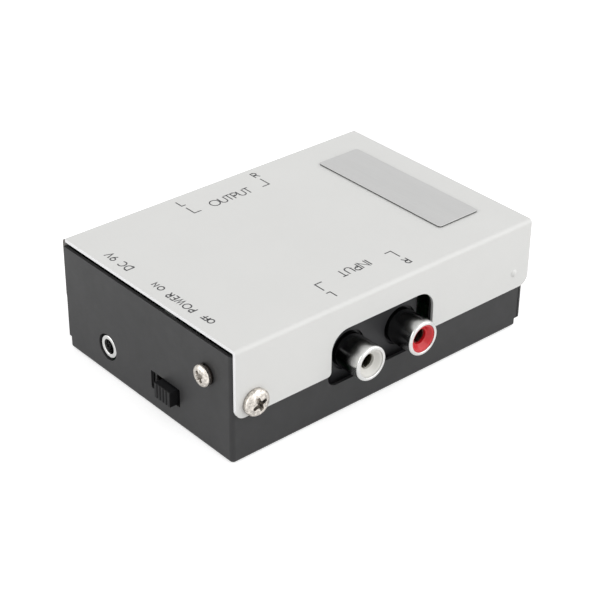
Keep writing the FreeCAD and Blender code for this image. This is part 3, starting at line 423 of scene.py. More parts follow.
class Effects:
    """Shared surface effects, each a node group that is built once."""

    def __init__(self) -> None:
        """Builds the groups."""
        self.grain = self.make_grain()
        self.edge_wear_and_highlight_group = self.make_edge_wear_and_highlight()
        self.touch = self.make_touch()
        self.dust = self.make_dust()
        self.brush = self.make_brush()
        self.painted_shade = self.make_painted_shade()

    @staticmethod
    def new_group(name: str, inputs: dict[str, float], outputs: dict[str, str]) -> tuple[Graph, object, object]:
        """Starts a node group.

        Args:
            name: The group's name.
            inputs: The name and default of each number that goes in.
            outputs: The name and socket type of each value that comes out.

        Returns:
            The group's graph, its input sockets and its output sockets.
        """
        tree = bpy.data.node_groups.new(name, "ShaderNodeTree")
        for title, default in inputs.items():
            socket = tree.interface.new_socket(title, in_out="INPUT", socket_type="NodeSocketFloat")
            socket.default_value = default
        for title, kind in outputs.items():
            tree.interface.new_socket(title, in_out="OUTPUT", socket_type=kind)
        graph = Graph(tree)
        return graph, graph.add("NodeGroupInput").outputs, graph.add("NodeGroupOutput").inputs

    def make_grain(self) -> bpy.types.NodeTree:
        """A fine even grain, as of paint or moulded plastic: its height and a slow change of tone."""
        graph, given, out = self.new_group("surface_grain", {"Scale": 8.0, "Mottle": 0.15},
                                           {"Height": "NodeSocketFloat", "Tone": "NodeSocketFloat"})
        fine = graph.noise(given["Scale"], 2.0, 0.5)
        coarse = graph.noise(graph.maths("MULTIPLY", given["Scale"], 0.35), 3.0, 0.6)
        graph.feed(out["Height"], graph.maths("ADD", graph.maths("MULTIPLY", fine, 0.65),
                                              graph.maths("MULTIPLY", coarse, 0.35)))
        graph.feed(out["Tone"], graph.noise(given["Mottle"], 4.0, 0.6))
        return graph.tree

    def make_edge_wear_and_highlight(self) -> bpy.types.NodeTree:
        """Sharp edges, for scuffing and for a painted edge highlight: 1 along sharp edges, broken up, and 0 elsewhere.
        """
        graph, given, out = self.new_group("edge_wear_and_highlight_mask", {"Radius": 0.0002, "Breakup": 1.5},
                                           {"Mask": "NodeSocketFloat"})
        rounded = graph.add("ShaderNodeBevel", {"Radius": given["Radius"]}, samples=6).outputs[0]
        true_normal = graph.add("ShaderNodeNewGeometry").outputs["Normal"]
        facing = graph.add("ShaderNodeVectorMath", {0: rounded, 1: true_normal}, operation="DOT_PRODUCT").outputs[1]
        edge = graph.spread(facing, 0.99, 0.86, 0.0, 1.0)
        broken = graph.spread(graph.noise(given["Breakup"], 4.0, 0.6), 0.35, 0.62, 0.0, 1.0)
        graph.feed(out["Mask"], graph.maths("MULTIPLY", edge, broken))
        return graph.tree

    def make_touch(self) -> bpy.types.NodeTree:
        """Roughness changed a little by handling, between two limits."""
        graph, given, out = self.new_group("handling", {"Scale": 0.12, "Low": 0.3, "High": 0.4},
                                           {"Roughness": "NodeSocketFloat"})
        slow = graph.noise(given["Scale"], 5.0, 0.65)
        graph.feed(out["Roughness"], graph.spread(slow, 0.3, 0.7, given["Low"], given["High"]))
        return graph.tree

    def make_dust(self) -> bpy.types.NodeTree:
        """Faint dust on faces that look up: a mask of specks over a thin film."""
        graph, given, out = self.new_group("settled_dust", {"Amount": 0.1, "Scale": 2.5}, {"Mask": "NodeSocketFloat"})
        normal = graph.add("ShaderNodeNewGeometry").outputs["Normal"]
        up = graph.add("ShaderNodeSeparateXYZ", {0: normal}).outputs[2]
        facing = graph.spread(up, 0.2, 1.0, 0.0, 1.0)
        specks = graph.spread(graph.noise(given["Scale"], 5.0, 0.7), 0.58, 0.74, 0.15, 1.0)
        dusty = graph.maths("MULTIPLY", facing, specks)
        graph.feed(out["Mask"], graph.maths("MULTIPLY", dusty, given["Amount"]))
        return graph.tree

    def make_brush(self) -> bpy.types.NodeTree:
        """Fine straight lines along Y, as on a brushed plate: their height and tone."""
        graph, given, out = self.new_group("brushed_lines", {"Scale": 6.0},
                                           {"Height": "NodeSocketFloat", "Tone": "NodeSocketFloat"})
        lines = graph.noise(given["Scale"], 3.0, 0.6, stretch=(1.0, 0.02, 1.0))
        bands = graph.noise(graph.maths("MULTIPLY", given["Scale"], 0.08), 2.0, 0.5, stretch=(1.0, 0.1, 1.0))
        graph.feed(out["Height"], lines)
        graph.feed(out["Tone"], graph.maths("ADD", graph.maths("MULTIPLY", lines, 0.6),
                                            graph.maths("MULTIPLY", bands, 0.4)))
        return graph.tree

    def make_painted_shade(self) -> bpy.types.NodeTree:
        """Painted shade where a surface is closed in, found by ambient occlusion: 1 deep in a recess, broken up, and 0
        in the open.
        """
        graph, given, out = self.new_group("recess_painted_shade", {"Reach": 0.0008, "Amount": 1.0},
                                           {"Mask": "NodeSocketFloat"})
        openness = graph.add("ShaderNodeAmbientOcclusion", {"Distance": given["Reach"]}, samples=8).outputs["AO"]
        closed = graph.spread(openness, 0.80, 0.30, 0.0, 1.0)
        broken = graph.spread(graph.noise(1.4, 4.0, 0.6), 0.30, 0.60, 0.7, 1.0)
        graph.feed(out["Mask"], graph.maths("MULTIPLY", graph.maths("MULTIPLY", closed, broken), given["Amount"]))
        return graph.tree


@dataclass(frozen=True)
class Finish:
    """One surface finish: its colours, gloss and grain, its scuffed edges with a painted highlight where asked, and
    painted shade in its recesses.
    """

    name: str
    colour: Triple
    roughness: Pair = (0.35, 0.45)
    metallic: float = 0.0
    specular: float = 0.5
    coat: float = 0.0
    tone: float = 0.04
    grain: float = 8.0
    mottle: float = 0.15
    relief: float = 0.0
    # Colour along sharp edges: scuffing, and on the pale cover a painted highlight.
    edge_wear_and_highlight: Triple | None = None
    edge_radius: float = 0.15
    dust: float = 0.0
    # Painted shade in recesses, found by ambient occlusion: its strength and its reach in millimetres.
    painted_shade: float = 0.0
    painted_shade_reach: float = 0.8
    brushed: bool = False

    def effect(self, graph: Graph, tree: bpy.types.NodeTree, inputs: dict) -> bpy.types.Node:
        """Places one shared effect in this material."""
        node = graph.add("ShaderNodeGroup", node_tree=tree)
        for name, value in inputs.items():
            graph.feed(node.inputs[name], value)
        return node

    def pattern(self, graph: Graph, colour: bpy.types.NodeSocket) -> bpy.types.NodeSocket:
        """Adds the finish's own markings to its colour; a plain finish has none."""
        return colour

    def material(self, effects: Effects) -> bpy.types.Material:
        """Builds the material.

        Args:
            effects: The shared node groups.

        Returns:
            The material, ready for a piece.
        """
        made = bpy.data.materials.new(self.name)
        made.use_nodes = True
        made.node_tree.nodes.clear()
        graph = Graph(made.node_tree)
        shader = graph.add("ShaderNodeBsdfPrincipled", {"Metallic": self.metallic, "Coat Weight": self.coat,
                                                        "Coat Roughness": COAT_ROUGHNESS,
                                                        "Specular IOR Level": self.specular})
        output = graph.add("ShaderNodeOutputMaterial")
        made.node_tree.links.new(shader.outputs[0], output.inputs[0])
        if self.brushed:
            surface = self.effect(graph, effects.brush, {"Scale": self.grain})
        else:
            surface = self.effect(graph, effects.grain, {"Scale": self.grain, "Mottle": self.mottle})
        dark = tuple(c * (1 - self.tone) for c in self.colour) + (1,)
        light = tuple(min(1.0, c * (1 + self.tone)) for c in self.colour) + (1,)
        even = graph.spread(surface.outputs["Tone"], 0.3, 0.7, 0.0, 1.0)
        colour = self.pattern(graph, graph.blend(even, dark, light))
        # Edge colour: scuffing, and on the cover a painted highlight along its cut edges.
        if self.edge_wear_and_highlight:
            edge_share = self.effect(graph, effects.edge_wear_and_highlight_group, {"Radius": self.edge_radius * MM}).outputs["Mask"]
            colour = graph.blend(edge_share, colour, self.edge_wear_and_highlight + (1,))
        if self.dust:
            film = self.effect(graph, effects.dust, {"Amount": self.dust}).outputs["Mask"]
            colour = graph.blend(film, colour, DUST)
        # Painted shade: the colour darkens where the surface is closed in.
        if self.painted_shade:
            recess_shade_node = self.effect(graph, effects.painted_shade, {"Reach": self.painted_shade_reach * MM, "Amount": self.painted_shade})
            colour = graph.blend(recess_shade_node.outputs["Mask"], colour, PAINTED_SHADE)
        graph.feed(shader.inputs["Base Color"], colour)
        touch = self.effect(graph, effects.touch, {"Low": self.roughness[0], "High": self.roughness[1]})
        graph.feed(shader.inputs["Roughness"], touch.outputs["Roughness"])
        if self.relief:
            bump = graph.add("ShaderNodeBump", {"Strength": 1.0, "Distance": self.relief * MM,
                                                "Height": surface.outputs["Height"]})
            graph.feed(shader.inputs["Normal"], bump.outputs[0])
        return made


@dataclass(frozen=True)
class PaintedSheet(Finish):
    """Painted sheet whose sheared end faces carry a painted highlight, and are darker on the output side's flap."""

    end_x: float = 43.9
    past_y: float = 29.9
    end_highlight: Triple = (0.88, 0.88, 0.89)
    dark_flap_end: Triple = (0.060, 0.048, 0.040)

    def pattern(self, graph: Graph, colour: bpy.types.NodeSocket) -> bpy.types.NodeSocket:
        """Paints a highlight on the faces at each end of the sheet, and darkens those on the output side's flap."""
        spot = graph.add("ShaderNodeSeparateXYZ", {0: graph.place()})
        past = graph.maths("GREATER_THAN", graph.maths("ABSOLUTE", spot.outputs[0]), self.end_x)
        flap = graph.maths("GREATER_THAN", spot.outputs[1], self.past_y)
        # Painted highlight on the end faces.
        ends = graph.blend(past, colour, self.end_highlight + (1,))
        # The ends of the output side's flap are darker.
        return graph.blend(graph.maths("MULTIPLY", past, flap), ends, self.dark_flap_end + (1,))


@dataclass(frozen=True)
class EdgedPlate(Finish):
    """A brushed plate whose side faces are coloured dark."""

    edge: Triple = (0.10, 0.10, 0.10)

    def pattern(self, graph: Graph, colour: bpy.types.NodeSocket) -> bpy.types.NodeSocket:
        """Darkens what doesn't face up."""
        normal = graph.add("ShaderNodeNewGeometry").outputs["Normal"]
        up = graph.add("ShaderNodeSeparateXYZ", {0: normal}).outputs[2]
        return graph.blend(graph.spread(up, 0.35, 0.75, 1.0, 0.0), colour, self.edge + (1,))


@dataclass(frozen=True)
class PlatedBarrel(Finish):
    """Plating that keeps its own colour at a barrel's rim and turns darker towards its root."""

    bright_from: float = 35.0
    dark_to: float = 31.8
    unevenness: float = 1.6
    barrel_reach: float = 20.0
    root_dark_colour: Triple = (0.130, 0.130, 0.132)

    def pattern(self, graph: Graph, colour: bpy.types.NodeSocket) -> bpy.types.NodeSocket:
        """Fades the plating along the barrels, which stand out along Y; other plated parts stay bright."""
        spot = graph.add("ShaderNodeSeparateXYZ", {0: graph.place()})
        out = graph.maths("ABSOLUTE", spot.outputs[1])
        uneven = graph.maths("ADD", out, graph.maths("MULTIPLY", graph.noise(0.5, 4.0, 0.6), self.unevenness))
        shift = self.unevenness / 2
        fade = graph.spread(uneven, self.dark_to + shift, self.bright_from + shift, 1.0, 0.0)
        barrel = graph.maths("LESS_THAN", graph.maths("ABSOLUTE", spot.outputs[0]), self.barrel_reach)
        # Darker towards each barrel's root.
        return graph.blend(graph.maths("MULTIPLY", fade, barrel), colour, self.root_dark_colour + (1,))


@dataclass(frozen=True)
class CopperBoard(Finish):
    """Green lacquer over copper: tracks show a shade lighter through it."""

    track: Triple = (0.035, 0.19, 0.07)

    def pattern(self, graph: Graph, colour: bpy.types.NodeSocket) -> bpy.types.NodeSocket:
        """Draws tracks as bands that run round wide cells."""
        cells = graph.add("ShaderNodeTexVoronoi", {"Vector": graph.place(), "Scale": 0.16, "Randomness": 0.35},
                          distance="MANHATTAN", feature="F1").outputs["Distance"]
        track = graph.spread(graph.maths("PINGPONG", graph.maths("MULTIPLY", cells, 5.0), 0.5), 0.30, 0.34, 0.0, 1.0)
        return graph.blend(graph.maths("MULTIPLY", track, 0.7), colour, self.track + (1,))


@dataclass(frozen=True)
class BandedLacquer(Finish):
    """Lacquer with colour bands across parts that lie along X in a row."""

    first: float = 0.0
    pitch: float = 1.0
    bands: tuple[tuple[float, float, Triple], ...] = ()

    def pattern(self, graph: Graph, colour: bpy.types.NodeSocket) -> bpy.types.NodeSocket:
        """Adds each (centre, width, colour) band, measured from each part's middle."""
        x = graph.add("ShaderNodeSeparateXYZ", {0: graph.place()}).outputs[0]
        shifted = graph.maths("ADD", x, self.pitch / 2 - self.first + 100 * self.pitch)
        local = graph.maths("SUBTRACT", graph.maths("MODULO", shifted, self.pitch), self.pitch / 2)
        for centre, width, paint in self.bands:
            away = graph.maths("ABSOLUTE", graph.maths("SUBTRACT", local, centre))
            inside = graph.maths("LESS_THAN", away, width / 2)
            colour = graph.blend(inside, colour, paint + (1,))
        return colour


@dataclass(frozen=True)
class StripedSleeve(Finish):
    """A dark shrunk sleeve with a pale stripe down the side that faces +X, and a bare can top."""

    stripe: Triple = (0.45, 0.47, 0.50)
    bare: Triple = (0.62, 0.62, 0.63)

    def pattern(self, graph: Graph, colour: bpy.types.NodeSocket) -> bpy.types.NodeSocket:
        """Paints the stripe by which way the surface faces, and the bare top by its slope."""
        normal = graph.add("ShaderNodeNewGeometry").outputs["Normal"]
        parts = graph.add("ShaderNodeSeparateXYZ", {0: normal})
        stripe = graph.maths("GREATER_THAN", parts.outputs[0], 0.9)
        striped = graph.blend(stripe, colour, self.stripe + (1,))
        top = graph.maths("GREATER_THAN", parts.outputs[2], 0.9)
        return graph.blend(top, striped, self.bare + (1,))


@dataclass(frozen=True)
class PressedFibre(Finish):
    """Pressed fibre board: short pale fibres in a dark brown ground."""

    fibre: Triple = (0.10, 0.07, 0.045)

    def pattern(self, graph: Graph, colour: bpy.types.NodeSocket) -> bpy.types.NodeSocket:
        """Adds short stretched flecks."""
        flecks = graph.spread(graph.noise(3.0, 4.0, 0.6, stretch=(1.0, 0.2, 1.0)), 0.55, 0.68, 0.0, 0.6)
        return graph.blend(flecks, colour, self.fibre + (1,))


def all_finishes() -> dict[Slot, Finish]:
    """Every finish of the preamp by its slot."""
    # The recess settings below paint shade into the hollows of the screws, zinc parts, sleeves and contacts.
    return {
        # The cover's pale edge colour is a painted highlight along its cut edges as well as scuffing.
        Slot.COVER: PaintedSheet("cover_paint", (0.72, 0.72, 0.705), (0.32, 0.40), specular=0.45, coat=0.3,
                                 tone=0.012, grain=5.0, mottle=0.05, relief=0.004, edge_wear_and_highlight=(0.86, 0.86, 0.85),
                                 edge_radius=0.12),
        Slot.TRAY: Finish("tray_paint", (0.033, 0.033, 0.034), (0.42, 0.50), specular=0.34, tone=0.10, grain=9.0,
                          mottle=0.25, relief=0.006, edge_wear_and_highlight=(0.085, 0.085, 0.088), edge_radius=0.18, dust=0.015),
        Slot.PLATE: EdgedPlate("plate_metal", (0.575, 0.575, 0.57), (0.36, 0.46), metallic=0.55, tone=0.03, grain=5.0,
                               relief=0.0015, brushed=True),
        Slot.SCREW: Finish("screw_nickel", (0.66, 0.62, 0.57), (0.26, 0.38), metallic=1.0, tone=0.50, grain=3.0,
                           mottle=1.6, relief=0.012, edge_wear_and_highlight=(0.92, 0.90, 0.86), edge_radius=0.08, painted_shade=0.80,
                           painted_shade_reach=1.2),
        Slot.ZINC: Finish("zinc_steel", (0.50, 0.50, 0.49), (0.32, 0.45), metallic=1.0, tone=0.10, grain=3.0,
                          mottle=0.6, relief=0.004, painted_shade=1.0, painted_shade_reach=3.0),
        Slot.MOULDING: Finish("socket_moulding", (0.028, 0.028, 0.030), (0.38, 0.50), specular=0.34, tone=0.12,
                              grain=7.0, relief=0.006, edge_wear_and_highlight=(0.04, 0.04, 0.04), edge_radius=0.12),
        Slot.SLEEVE: PlatedBarrel("sleeve_plating", (0.74, 0.74, 0.73), (0.16, 0.26), metallic=1.0, tone=0.10,
                                  grain=3.0, mottle=0.5, relief=0.0015, edge_wear_and_highlight=(0.95, 0.95, 0.93), edge_radius=0.10,
                                  painted_shade=0.7, painted_shade_reach=0.4),
        Slot.WHITE: Finish("insert_white", (0.72, 0.71, 0.67), (0.25, 0.35), coat=0.15, tone=0.02, grain=4.0,
                           relief=0.002),
        Slot.RED: Finish("insert_red", (0.62, 0.012, 0.020), (0.25, 0.35), coat=0.15, tone=0.05, grain=4.0,
                         relief=0.002),
        Slot.CONTACT: Finish("contact_brass", (0.42, 0.39, 0.31), (0.25, 0.38), metallic=1.0, tone=0.08, grain=3.0,
                             mottle=0.8, relief=0.003, painted_shade=1.0, painted_shade_reach=3.0),
        Slot.BOARD: CopperBoard("board_laminate", (0.012, 0.095, 0.035), (0.22, 0.32), coat=0.3, tone=0.06, grain=3.0,
                                relief=0.004, edge_wear_and_highlight=(0.45, 0.42, 0.28), edge_radius=0.2),
        Slot.KNOB: Finish("knob_plastic", (0.008, 0.008, 0.009), (0.38, 0.50), specular=0.22, tone=0.10, grain=8.0,
                          relief=0.006, edge_wear_and_highlight=(0.030, 0.030, 0.031), edge_radius=0.10),
        Slot.FIBRE: PressedFibre("base_fibre", (0.045, 0.030, 0.020), (0.55, 0.65), tone=0.12, grain=4.0, relief=0.01),
        Slot.LEAD: Finish("lead_tin", (0.70, 0.70, 0.69), (0.25, 0.38), metallic=1.0, tone=0.06, grain=3.0,
                          mottle=0.8, relief=0.003),
        Slot.INSULATION: Finish("lead_insulation", (0.03, 0.30, 0.06), (0.32, 0.42), tone=0.05, grain=3.0,
                                relief=0.004),
        Slot.RESISTOR: BandedLacquer("resistor_lacquer", (0.22, 0.46, 0.60), (0.28, 0.38), coat=0.2, tone=0.05,
                                     grain=3.0, relief=0.008, first=-2.4, pitch=11.2,
                                     bands=((-2.2, 0.5, (0.30, 0.02, 0.01)), (-1.1, 0.45, (0.02, 0.02, 0.02)),
                                            (-0.2, 0.45, (0.02, 0.02, 0.02)), (0.7, 0.45, (0.50, 0.13, 0.01)),
                                            (2.2, 0.5, (0.20, 0.06, 0.02)))),
        Slot.FILM: Finish("film_case", (0.50, 0.035, 0.025), (0.30, 0.40), coat=0.1, tone=0.05, grain=4.0,
                          relief=0.004, edge_wear_and_highlight=(0.70, 0.15, 0.10), edge_radius=0.15),
        Slot.CAN: StripedSleeve("can_sleeve", (0.015, 0.020, 0.055), (0.24, 0.34), tone=0.08, grain=3.0,
                                relief=0.004),
        Slot.CHIP: Finish("chip_epoxy", (0.022, 0.022, 0.023), (0.50, 0.62), tone=0.15, grain=9.0, relief=0.010,
                          edge_wear_and_highlight=(0.05, 0.05, 0.05), edge_radius=0.12),
        Slot.DIODE: BandedLacquer("diode_epoxy", (0.025, 0.025, 0.026), (0.40, 0.50), tone=0.10, grain=6.0,
                                  relief=0.006, first=-28.9, pitch=60.0,
                                  bands=((-1.5, 0.7, (0.60, 0.60, 0.58)),)),
    }


# ---- The case


@dataclass
class Cover:
    """The pale cover: one sheet folded into a top and two flaps, laid out flat and then bent."""

    length: float = 88.0
    width: float = 61.8
    top_z: float = 28.5
    sheet: float = 0.7
    bend: float = 1.0
    edge_z: float = 11.5
    corner: float = 2.5
    notch: Pair = (-17.6, 12.8)
    notch_top: float = 21.9
    notch_radius: float = 4.7
    lip_radius: float = 1.0
    screw_place: Pair = (-39.0, 14.6)
    screw_hole: float = 1.75
    bump_place: Pair = (39.1, 15.9)
    bump_radius: float = 0.98
    bump_rise: float = 0.44
    bump_segments: int = 48
    bump_steps: int = 7
    bend_steps: int = 12
    edge_bevel: float = 0.09

    def flat_half(self) -> float:
        """Half the width of the flat top."""
        return self.width / 2 - self.bend

    def bend_end(self) -> float:
        """Distance across the laid-out sheet at which a flap starts."""
        return self.flat_half() + self.bend * math.pi / 2

    def across(self, z: float) -> float:
        """Distance across the laid-out sheet of a height on a flap."""
        return self.bend_end() + (self.top_z - self.bend) - z

    def fold(self, x: float, s: float, rise: float) -> Vector:
        """Carries a point of the laid-out sheet to its place on the folded cover.

        Args:
            x: Place along the case.
            s: Distance across the laid-out sheet from its middle.
            rise: Height over the sheet's outer face.

        Returns:
            The point in millimetres.
        """
        side = 1 if s >= 0 else -1
        far = abs(s)
        centre_y = self.flat_half()
        centre_z = self.top_z - self.bend
        if far <= self.flat_half():
            return Vector((x, s, self.top_z + rise))
        if far >= self.bend_end():
            return Vector((x, side * (self.width / 2 + rise), centre_z - (far - self.bend_end())))
        angle = (far - self.flat_half()) / self.bend
        reach = self.bend + rise
        return Vector((x, side * (centre_y + reach * math.sin(angle)), centre_z + reach * math.cos(angle)))

    def outline(self) -> list[Vector]:
        """The laid-out sheet's outline with both notches and every rounded corner."""
        half = self.length / 2
        edge = self.across(self.edge_z)
        top = self.across(self.notch_top)
        low_x, high_x = self.notch
        side = [(-half, edge, self.corner), (low_x, edge, self.lip_radius), (low_x, top, self.notch_radius),
                (high_x, top, self.notch_radius), (high_x, edge, self.lip_radius), (half, edge, self.corner)]
        other = [(x, -s, radius) for x, s, radius in reversed(side)]
        return rounded_outline(side + other)

    def laid_out(self) -> bmesh.types.BMesh:
        """The flat sheet, filled and divided along its bends, with a pressed bump near each far corner."""
        mesh = bmesh.new()
        rise = mesh.verts.layers.float.new("rise")
        self.loop(mesh, self.outline())
        x, z = self.screw_place
        for side in (-1, 1):
            self.loop(mesh, circle(x, side * self.across(z), self.screw_hole))
        bumps = []
        x, z = self.bump_place
        for side in (-1, 1):
            y = side * self.across(z)
            bumps.append((Vector((x, y)), self.loop(mesh, circle(x, y, self.bump_radius, self.bump_segments))))
        bmesh.ops.triangle_fill(mesh, use_beauty=True, use_dissolve=False, edges=mesh.edges[:])
        for centre, ring in bumps:
            self.press(mesh, rise, centre, ring)
        for side in (-1, 1):
            for k in range(self.bend_steps + 1):
                at = side * (self.flat_half() + (self.bend_end() - self.flat_half()) * k / self.bend_steps)
                bmesh.ops.bisect_plane(mesh, geom=mesh.verts[:] + mesh.edges[:] + mesh.faces[:],
                                       plane_co=(0, at, 0), plane_no=(0, 1, 0))
        for vert in mesh.verts:
            vert.co = self.fold(vert.co.x, vert.co.y, vert[rise]) * MM
        return mesh

    @staticmethod
    def loop(mesh: bmesh.types.BMesh, points: Sequence[Vector]) -> list[bmesh.types.BMVert]:
        """Adds a closed loop of edges and returns its vertices."""
        verts = [mesh.verts.new((p.x, p.y, 0)) for p in points]
        for first, second in zip(verts, verts[1:] + verts[:1]):
            mesh.edges.new((first, second))
        return verts

    def press(self, mesh: bmesh.types.BMesh, rise: object, centre: Vector, ring: list[bmesh.types.BMVert]) -> None:
        """Fills one round opening with a smooth raised bump."""
        ball = (self.bump_radius ** 2 + self.bump_rise ** 2) / (2 * self.bump_rise)
        rings = [ring]
        for k in range(1, self.bump_steps + 1):
            share = 1 - k / self.bump_steps
            if k == self.bump_steps:
                verts = [mesh.verts.new((centre.x, centre.y, 0))]
            else:
                verts = []
                for edge_vert in ring:
                    spot = centre + (edge_vert.co.xy - centre) * share
                    verts.append(mesh.verts.new((spot.x, spot.y, 0)))
            height = math.sqrt(ball ** 2 - (share * self.bump_radius) ** 2) - ball + self.bump_rise
            for vert in verts:
                vert[rise] = height
            rings.append(verts)
        join_rings(mesh, rings)

    def build(self, shop: Workshop) -> None:
        """Folds the sheet, gives it its thickness and softens its cut edges."""
        mesh = self.laid_out()
        bmesh.ops.recalc_face_normals(mesh, faces=mesh.faces)
        top = max(mesh.faces, key=lambda f: f.calc_area())
        if top.normal.z < 0:
            bmesh.ops.reverse_faces(mesh, faces=mesh.faces)
        thing = shop.piece("folded_cover", mesh, Slot.COVER, Body.CASE, ["top_cover"])
        thick = thing.modifiers.new("sheet_thickness", "SOLIDIFY")
        thick.thickness = self.sheet * MM
        thick.offset = -1
        thick.use_even_offset = True
        shop.soften(thing, self.edge_bevel)


@dataclass
class Tray:
    """The black tray: a folded box with one dressed corner, slits and reliefs at the others, and every opening."""

    near_x: float = -44.4
    wall_end_x: float = 43.0
    far_x: float = 42.4
    half_width: float = 30.1
    sheet: float = 0.8
    bend: float = 1.1
    rim_z: float = 26.8
    relief_height: float = 2.2
    near_relief_height: float = 3.2
    relief_length: float = 1.5
    slit: float = 0.3
    notch: Pair = (-17.75, 12.95)
    notch_floor: float = 7.9
    notch_radius: float = 2.4
    screw_place: Pair = (-39.0, 14.6)
    screw_hole: float = 1.75
    dc_place: Pair = (14.5, 7.5)
    dc_hole: float = 3.3
    switch_slot: tuple[float, float, float, float] = (-12.2, -1.9, 5.2, 9.8)
    earth_place: Pair = (-21.7, 18.9)
    standoffs: tuple[Pair, ...] = ((-33.2, -22.3), (-33.2, 22.3), (36.4, -22.3), (36.4, 22.3))
    pilot: float = 2.13
    least_radius: float = 0.0004
    past_panel: float = 0.4
    edge_bevel: float = 0.08

    def skin(self, mesh: bmesh.types.BMesh, inset: float, top: float) -> list[list[bmesh.types.BMVert]]:
        """Adds one skin of the box as rings from its rim down to its floor.

        Args:
            mesh: The mesh to add to.
            inset: Distance in from the outer faces.
            top: Height of the rim.

        Returns:
            The rings of vertices, rim first.
        """
        bend = self.bend - inset
        levels = [(inset, top), (inset, inset + bend)]
        levels += [(inset + bend * (1 - math.cos(math.radians(a))), inset + bend * (1 - math.sin(math.radians(a))))
                   for a in range(9, 91, 9)]
        rings = []
        for inward, z in levels:
            half = self.half_width - inward
            corners = rectangle(self.near_x + inward, self.far_x - inward, -half, half, 0)
            corners[0] = (corners[0][0], corners[0][1], max(self.bend - inward, self.least_radius))
            rings.append([mesh.verts.new(Vector((p.x, p.y, z)) * MM) for p in rounded_outline(corners, 8)])
        join_rings(mesh, rings)
        mesh.faces.new(rings[-1])
        return rings

    def box(self) -> bmesh.types.BMesh:
        """The sheet box as one closed solid, before its openings are cut."""
        mesh = bmesh.new()
        outer = self.skin(mesh, 0.0, self.rim_z)
        inner = self.skin(mesh, self.sheet, self.rim_z)
        join_rings(mesh, [outer[0], inner[0]])
        bmesh.ops.remove_doubles(mesh, verts=mesh.verts, dist=0.001 * MM)
        bmesh.ops.recalc_face_normals(mesh, faces=mesh.faces)
        return mesh

    def wall_ends(self) -> bmesh.types.BMesh:
        """The ends of the side walls that stand past the far panel."""
        parts = []
        for side in (-1, 1):
            low, high = sorted((side * self.half_width, side * (self.half_width - self.sheet)))
            outline = rounded_outline(rectangle(self.far_x - 0.3, self.wall_end_x, low, high, 0))
            parts.append(prism(outline, self.relief_height, self.rim_z, along_z))
        return merged(parts)

    def cutters(self) -> list[bmesh.types.BMesh]:
        """Every opening of the tray as a closed mesh."""
        past = self.half_width + 3
        low, high = self.notch
        floor, radius, above = self.notch_floor, self.notch_radius, self.rim_z + 3
        notch = rounded_outline([(low, floor, radius), (high, floor, radius), (high, above, 0), (low, above, 0)])
        made = [prism(outline, -past, past, along_y)
                for outline in (notch, circle(*self.screw_place, self.screw_hole))]
        through = (self.near_x - 1, self.near_x + self.sheet + self.past_panel)
        made += [prism(outline, *through, along_x)
                 for outline in (circle(*self.dc_place, self.dc_hole, 64), circle(*self.earth_place, self.screw_hole),
                                 rounded_outline(rectangle(*self.switch_slot, 0.3)))]
        made += [prism(circle(x, y, self.pilot), -1, self.sheet + self.past_panel, along_z)
                 for x, y in self.standoffs]
        near_inner = self.near_x + self.sheet
        for side in (-1, 1):
            wall = side * (self.half_width - self.sheet)
            past_wall = side * (self.half_width + 1)
            far_slit = (self.far_x - 2 * self.sheet, self.far_x + self.past_panel,
                        *sorted((wall, wall - side * self.slit)))
            made.append(prism(rounded_outline(rectangle(*far_slit, 0)), self.relief_height, self.rim_z + 1, along_z))
            across = sorted((wall - side * self.slit, past_wall))
            far_relief = (self.wall_end_x - self.relief_length, self.wall_end_x + 1, *across)
            made.append(prism(rounded_outline(rectangle(*far_relief, 0)), -1, self.relief_height, along_z))
        across = (self.half_width - self.sheet, self.half_width + 1)
        near_slit = rounded_outline(rectangle(near_inner, near_inner + self.slit, *across, 0))
        near_relief = rounded_outline(rectangle(self.near_x - 1, self.near_x + self.relief_length, *across, 0))
        made.append(prism(near_slit, self.near_relief_height, self.rim_z + 1, along_z))
        made.append(prism(near_relief, -1, self.near_relief_height, along_z))
        return made

    def build(self, shop: Workshop) -> None:
        """Builds the tray and the wall ends past its far panel."""
        shop.piece("folded_tray", self.box(), Slot.TRAY, Body.CASE, ["base_tray"], bevel=self.edge_bevel,
                   cutters=self.cutters())
        shop.piece("tray_wall_ends", self.wall_ends(), Slot.TRAY, Body.CASE, bevel=self.edge_bevel)


@dataclass
class BlankPlate:
    """The bare metal plate on the cover."""

    x_span: Pair = (24.5, 37.1)
    y_span: Pair = (-20.3, 21.6)
    base_z: float = 28.5
    thickness: float = 0.4
    corner: float = 0.8

    def build(self, shop: Workshop) -> None:
        """Builds the plate with softened edges."""
        outline = rounded_outline(rectangle(*self.x_span, *self.y_span, self.corner))
        mesh = prism(outline, self.base_z, self.base_z + self.thickness, along_z)
        shop.piece("bare_plate", mesh, Slot.PLATE, Body.CASE, ["blank_plate"], bevel=0.1)


# ---- Lettering


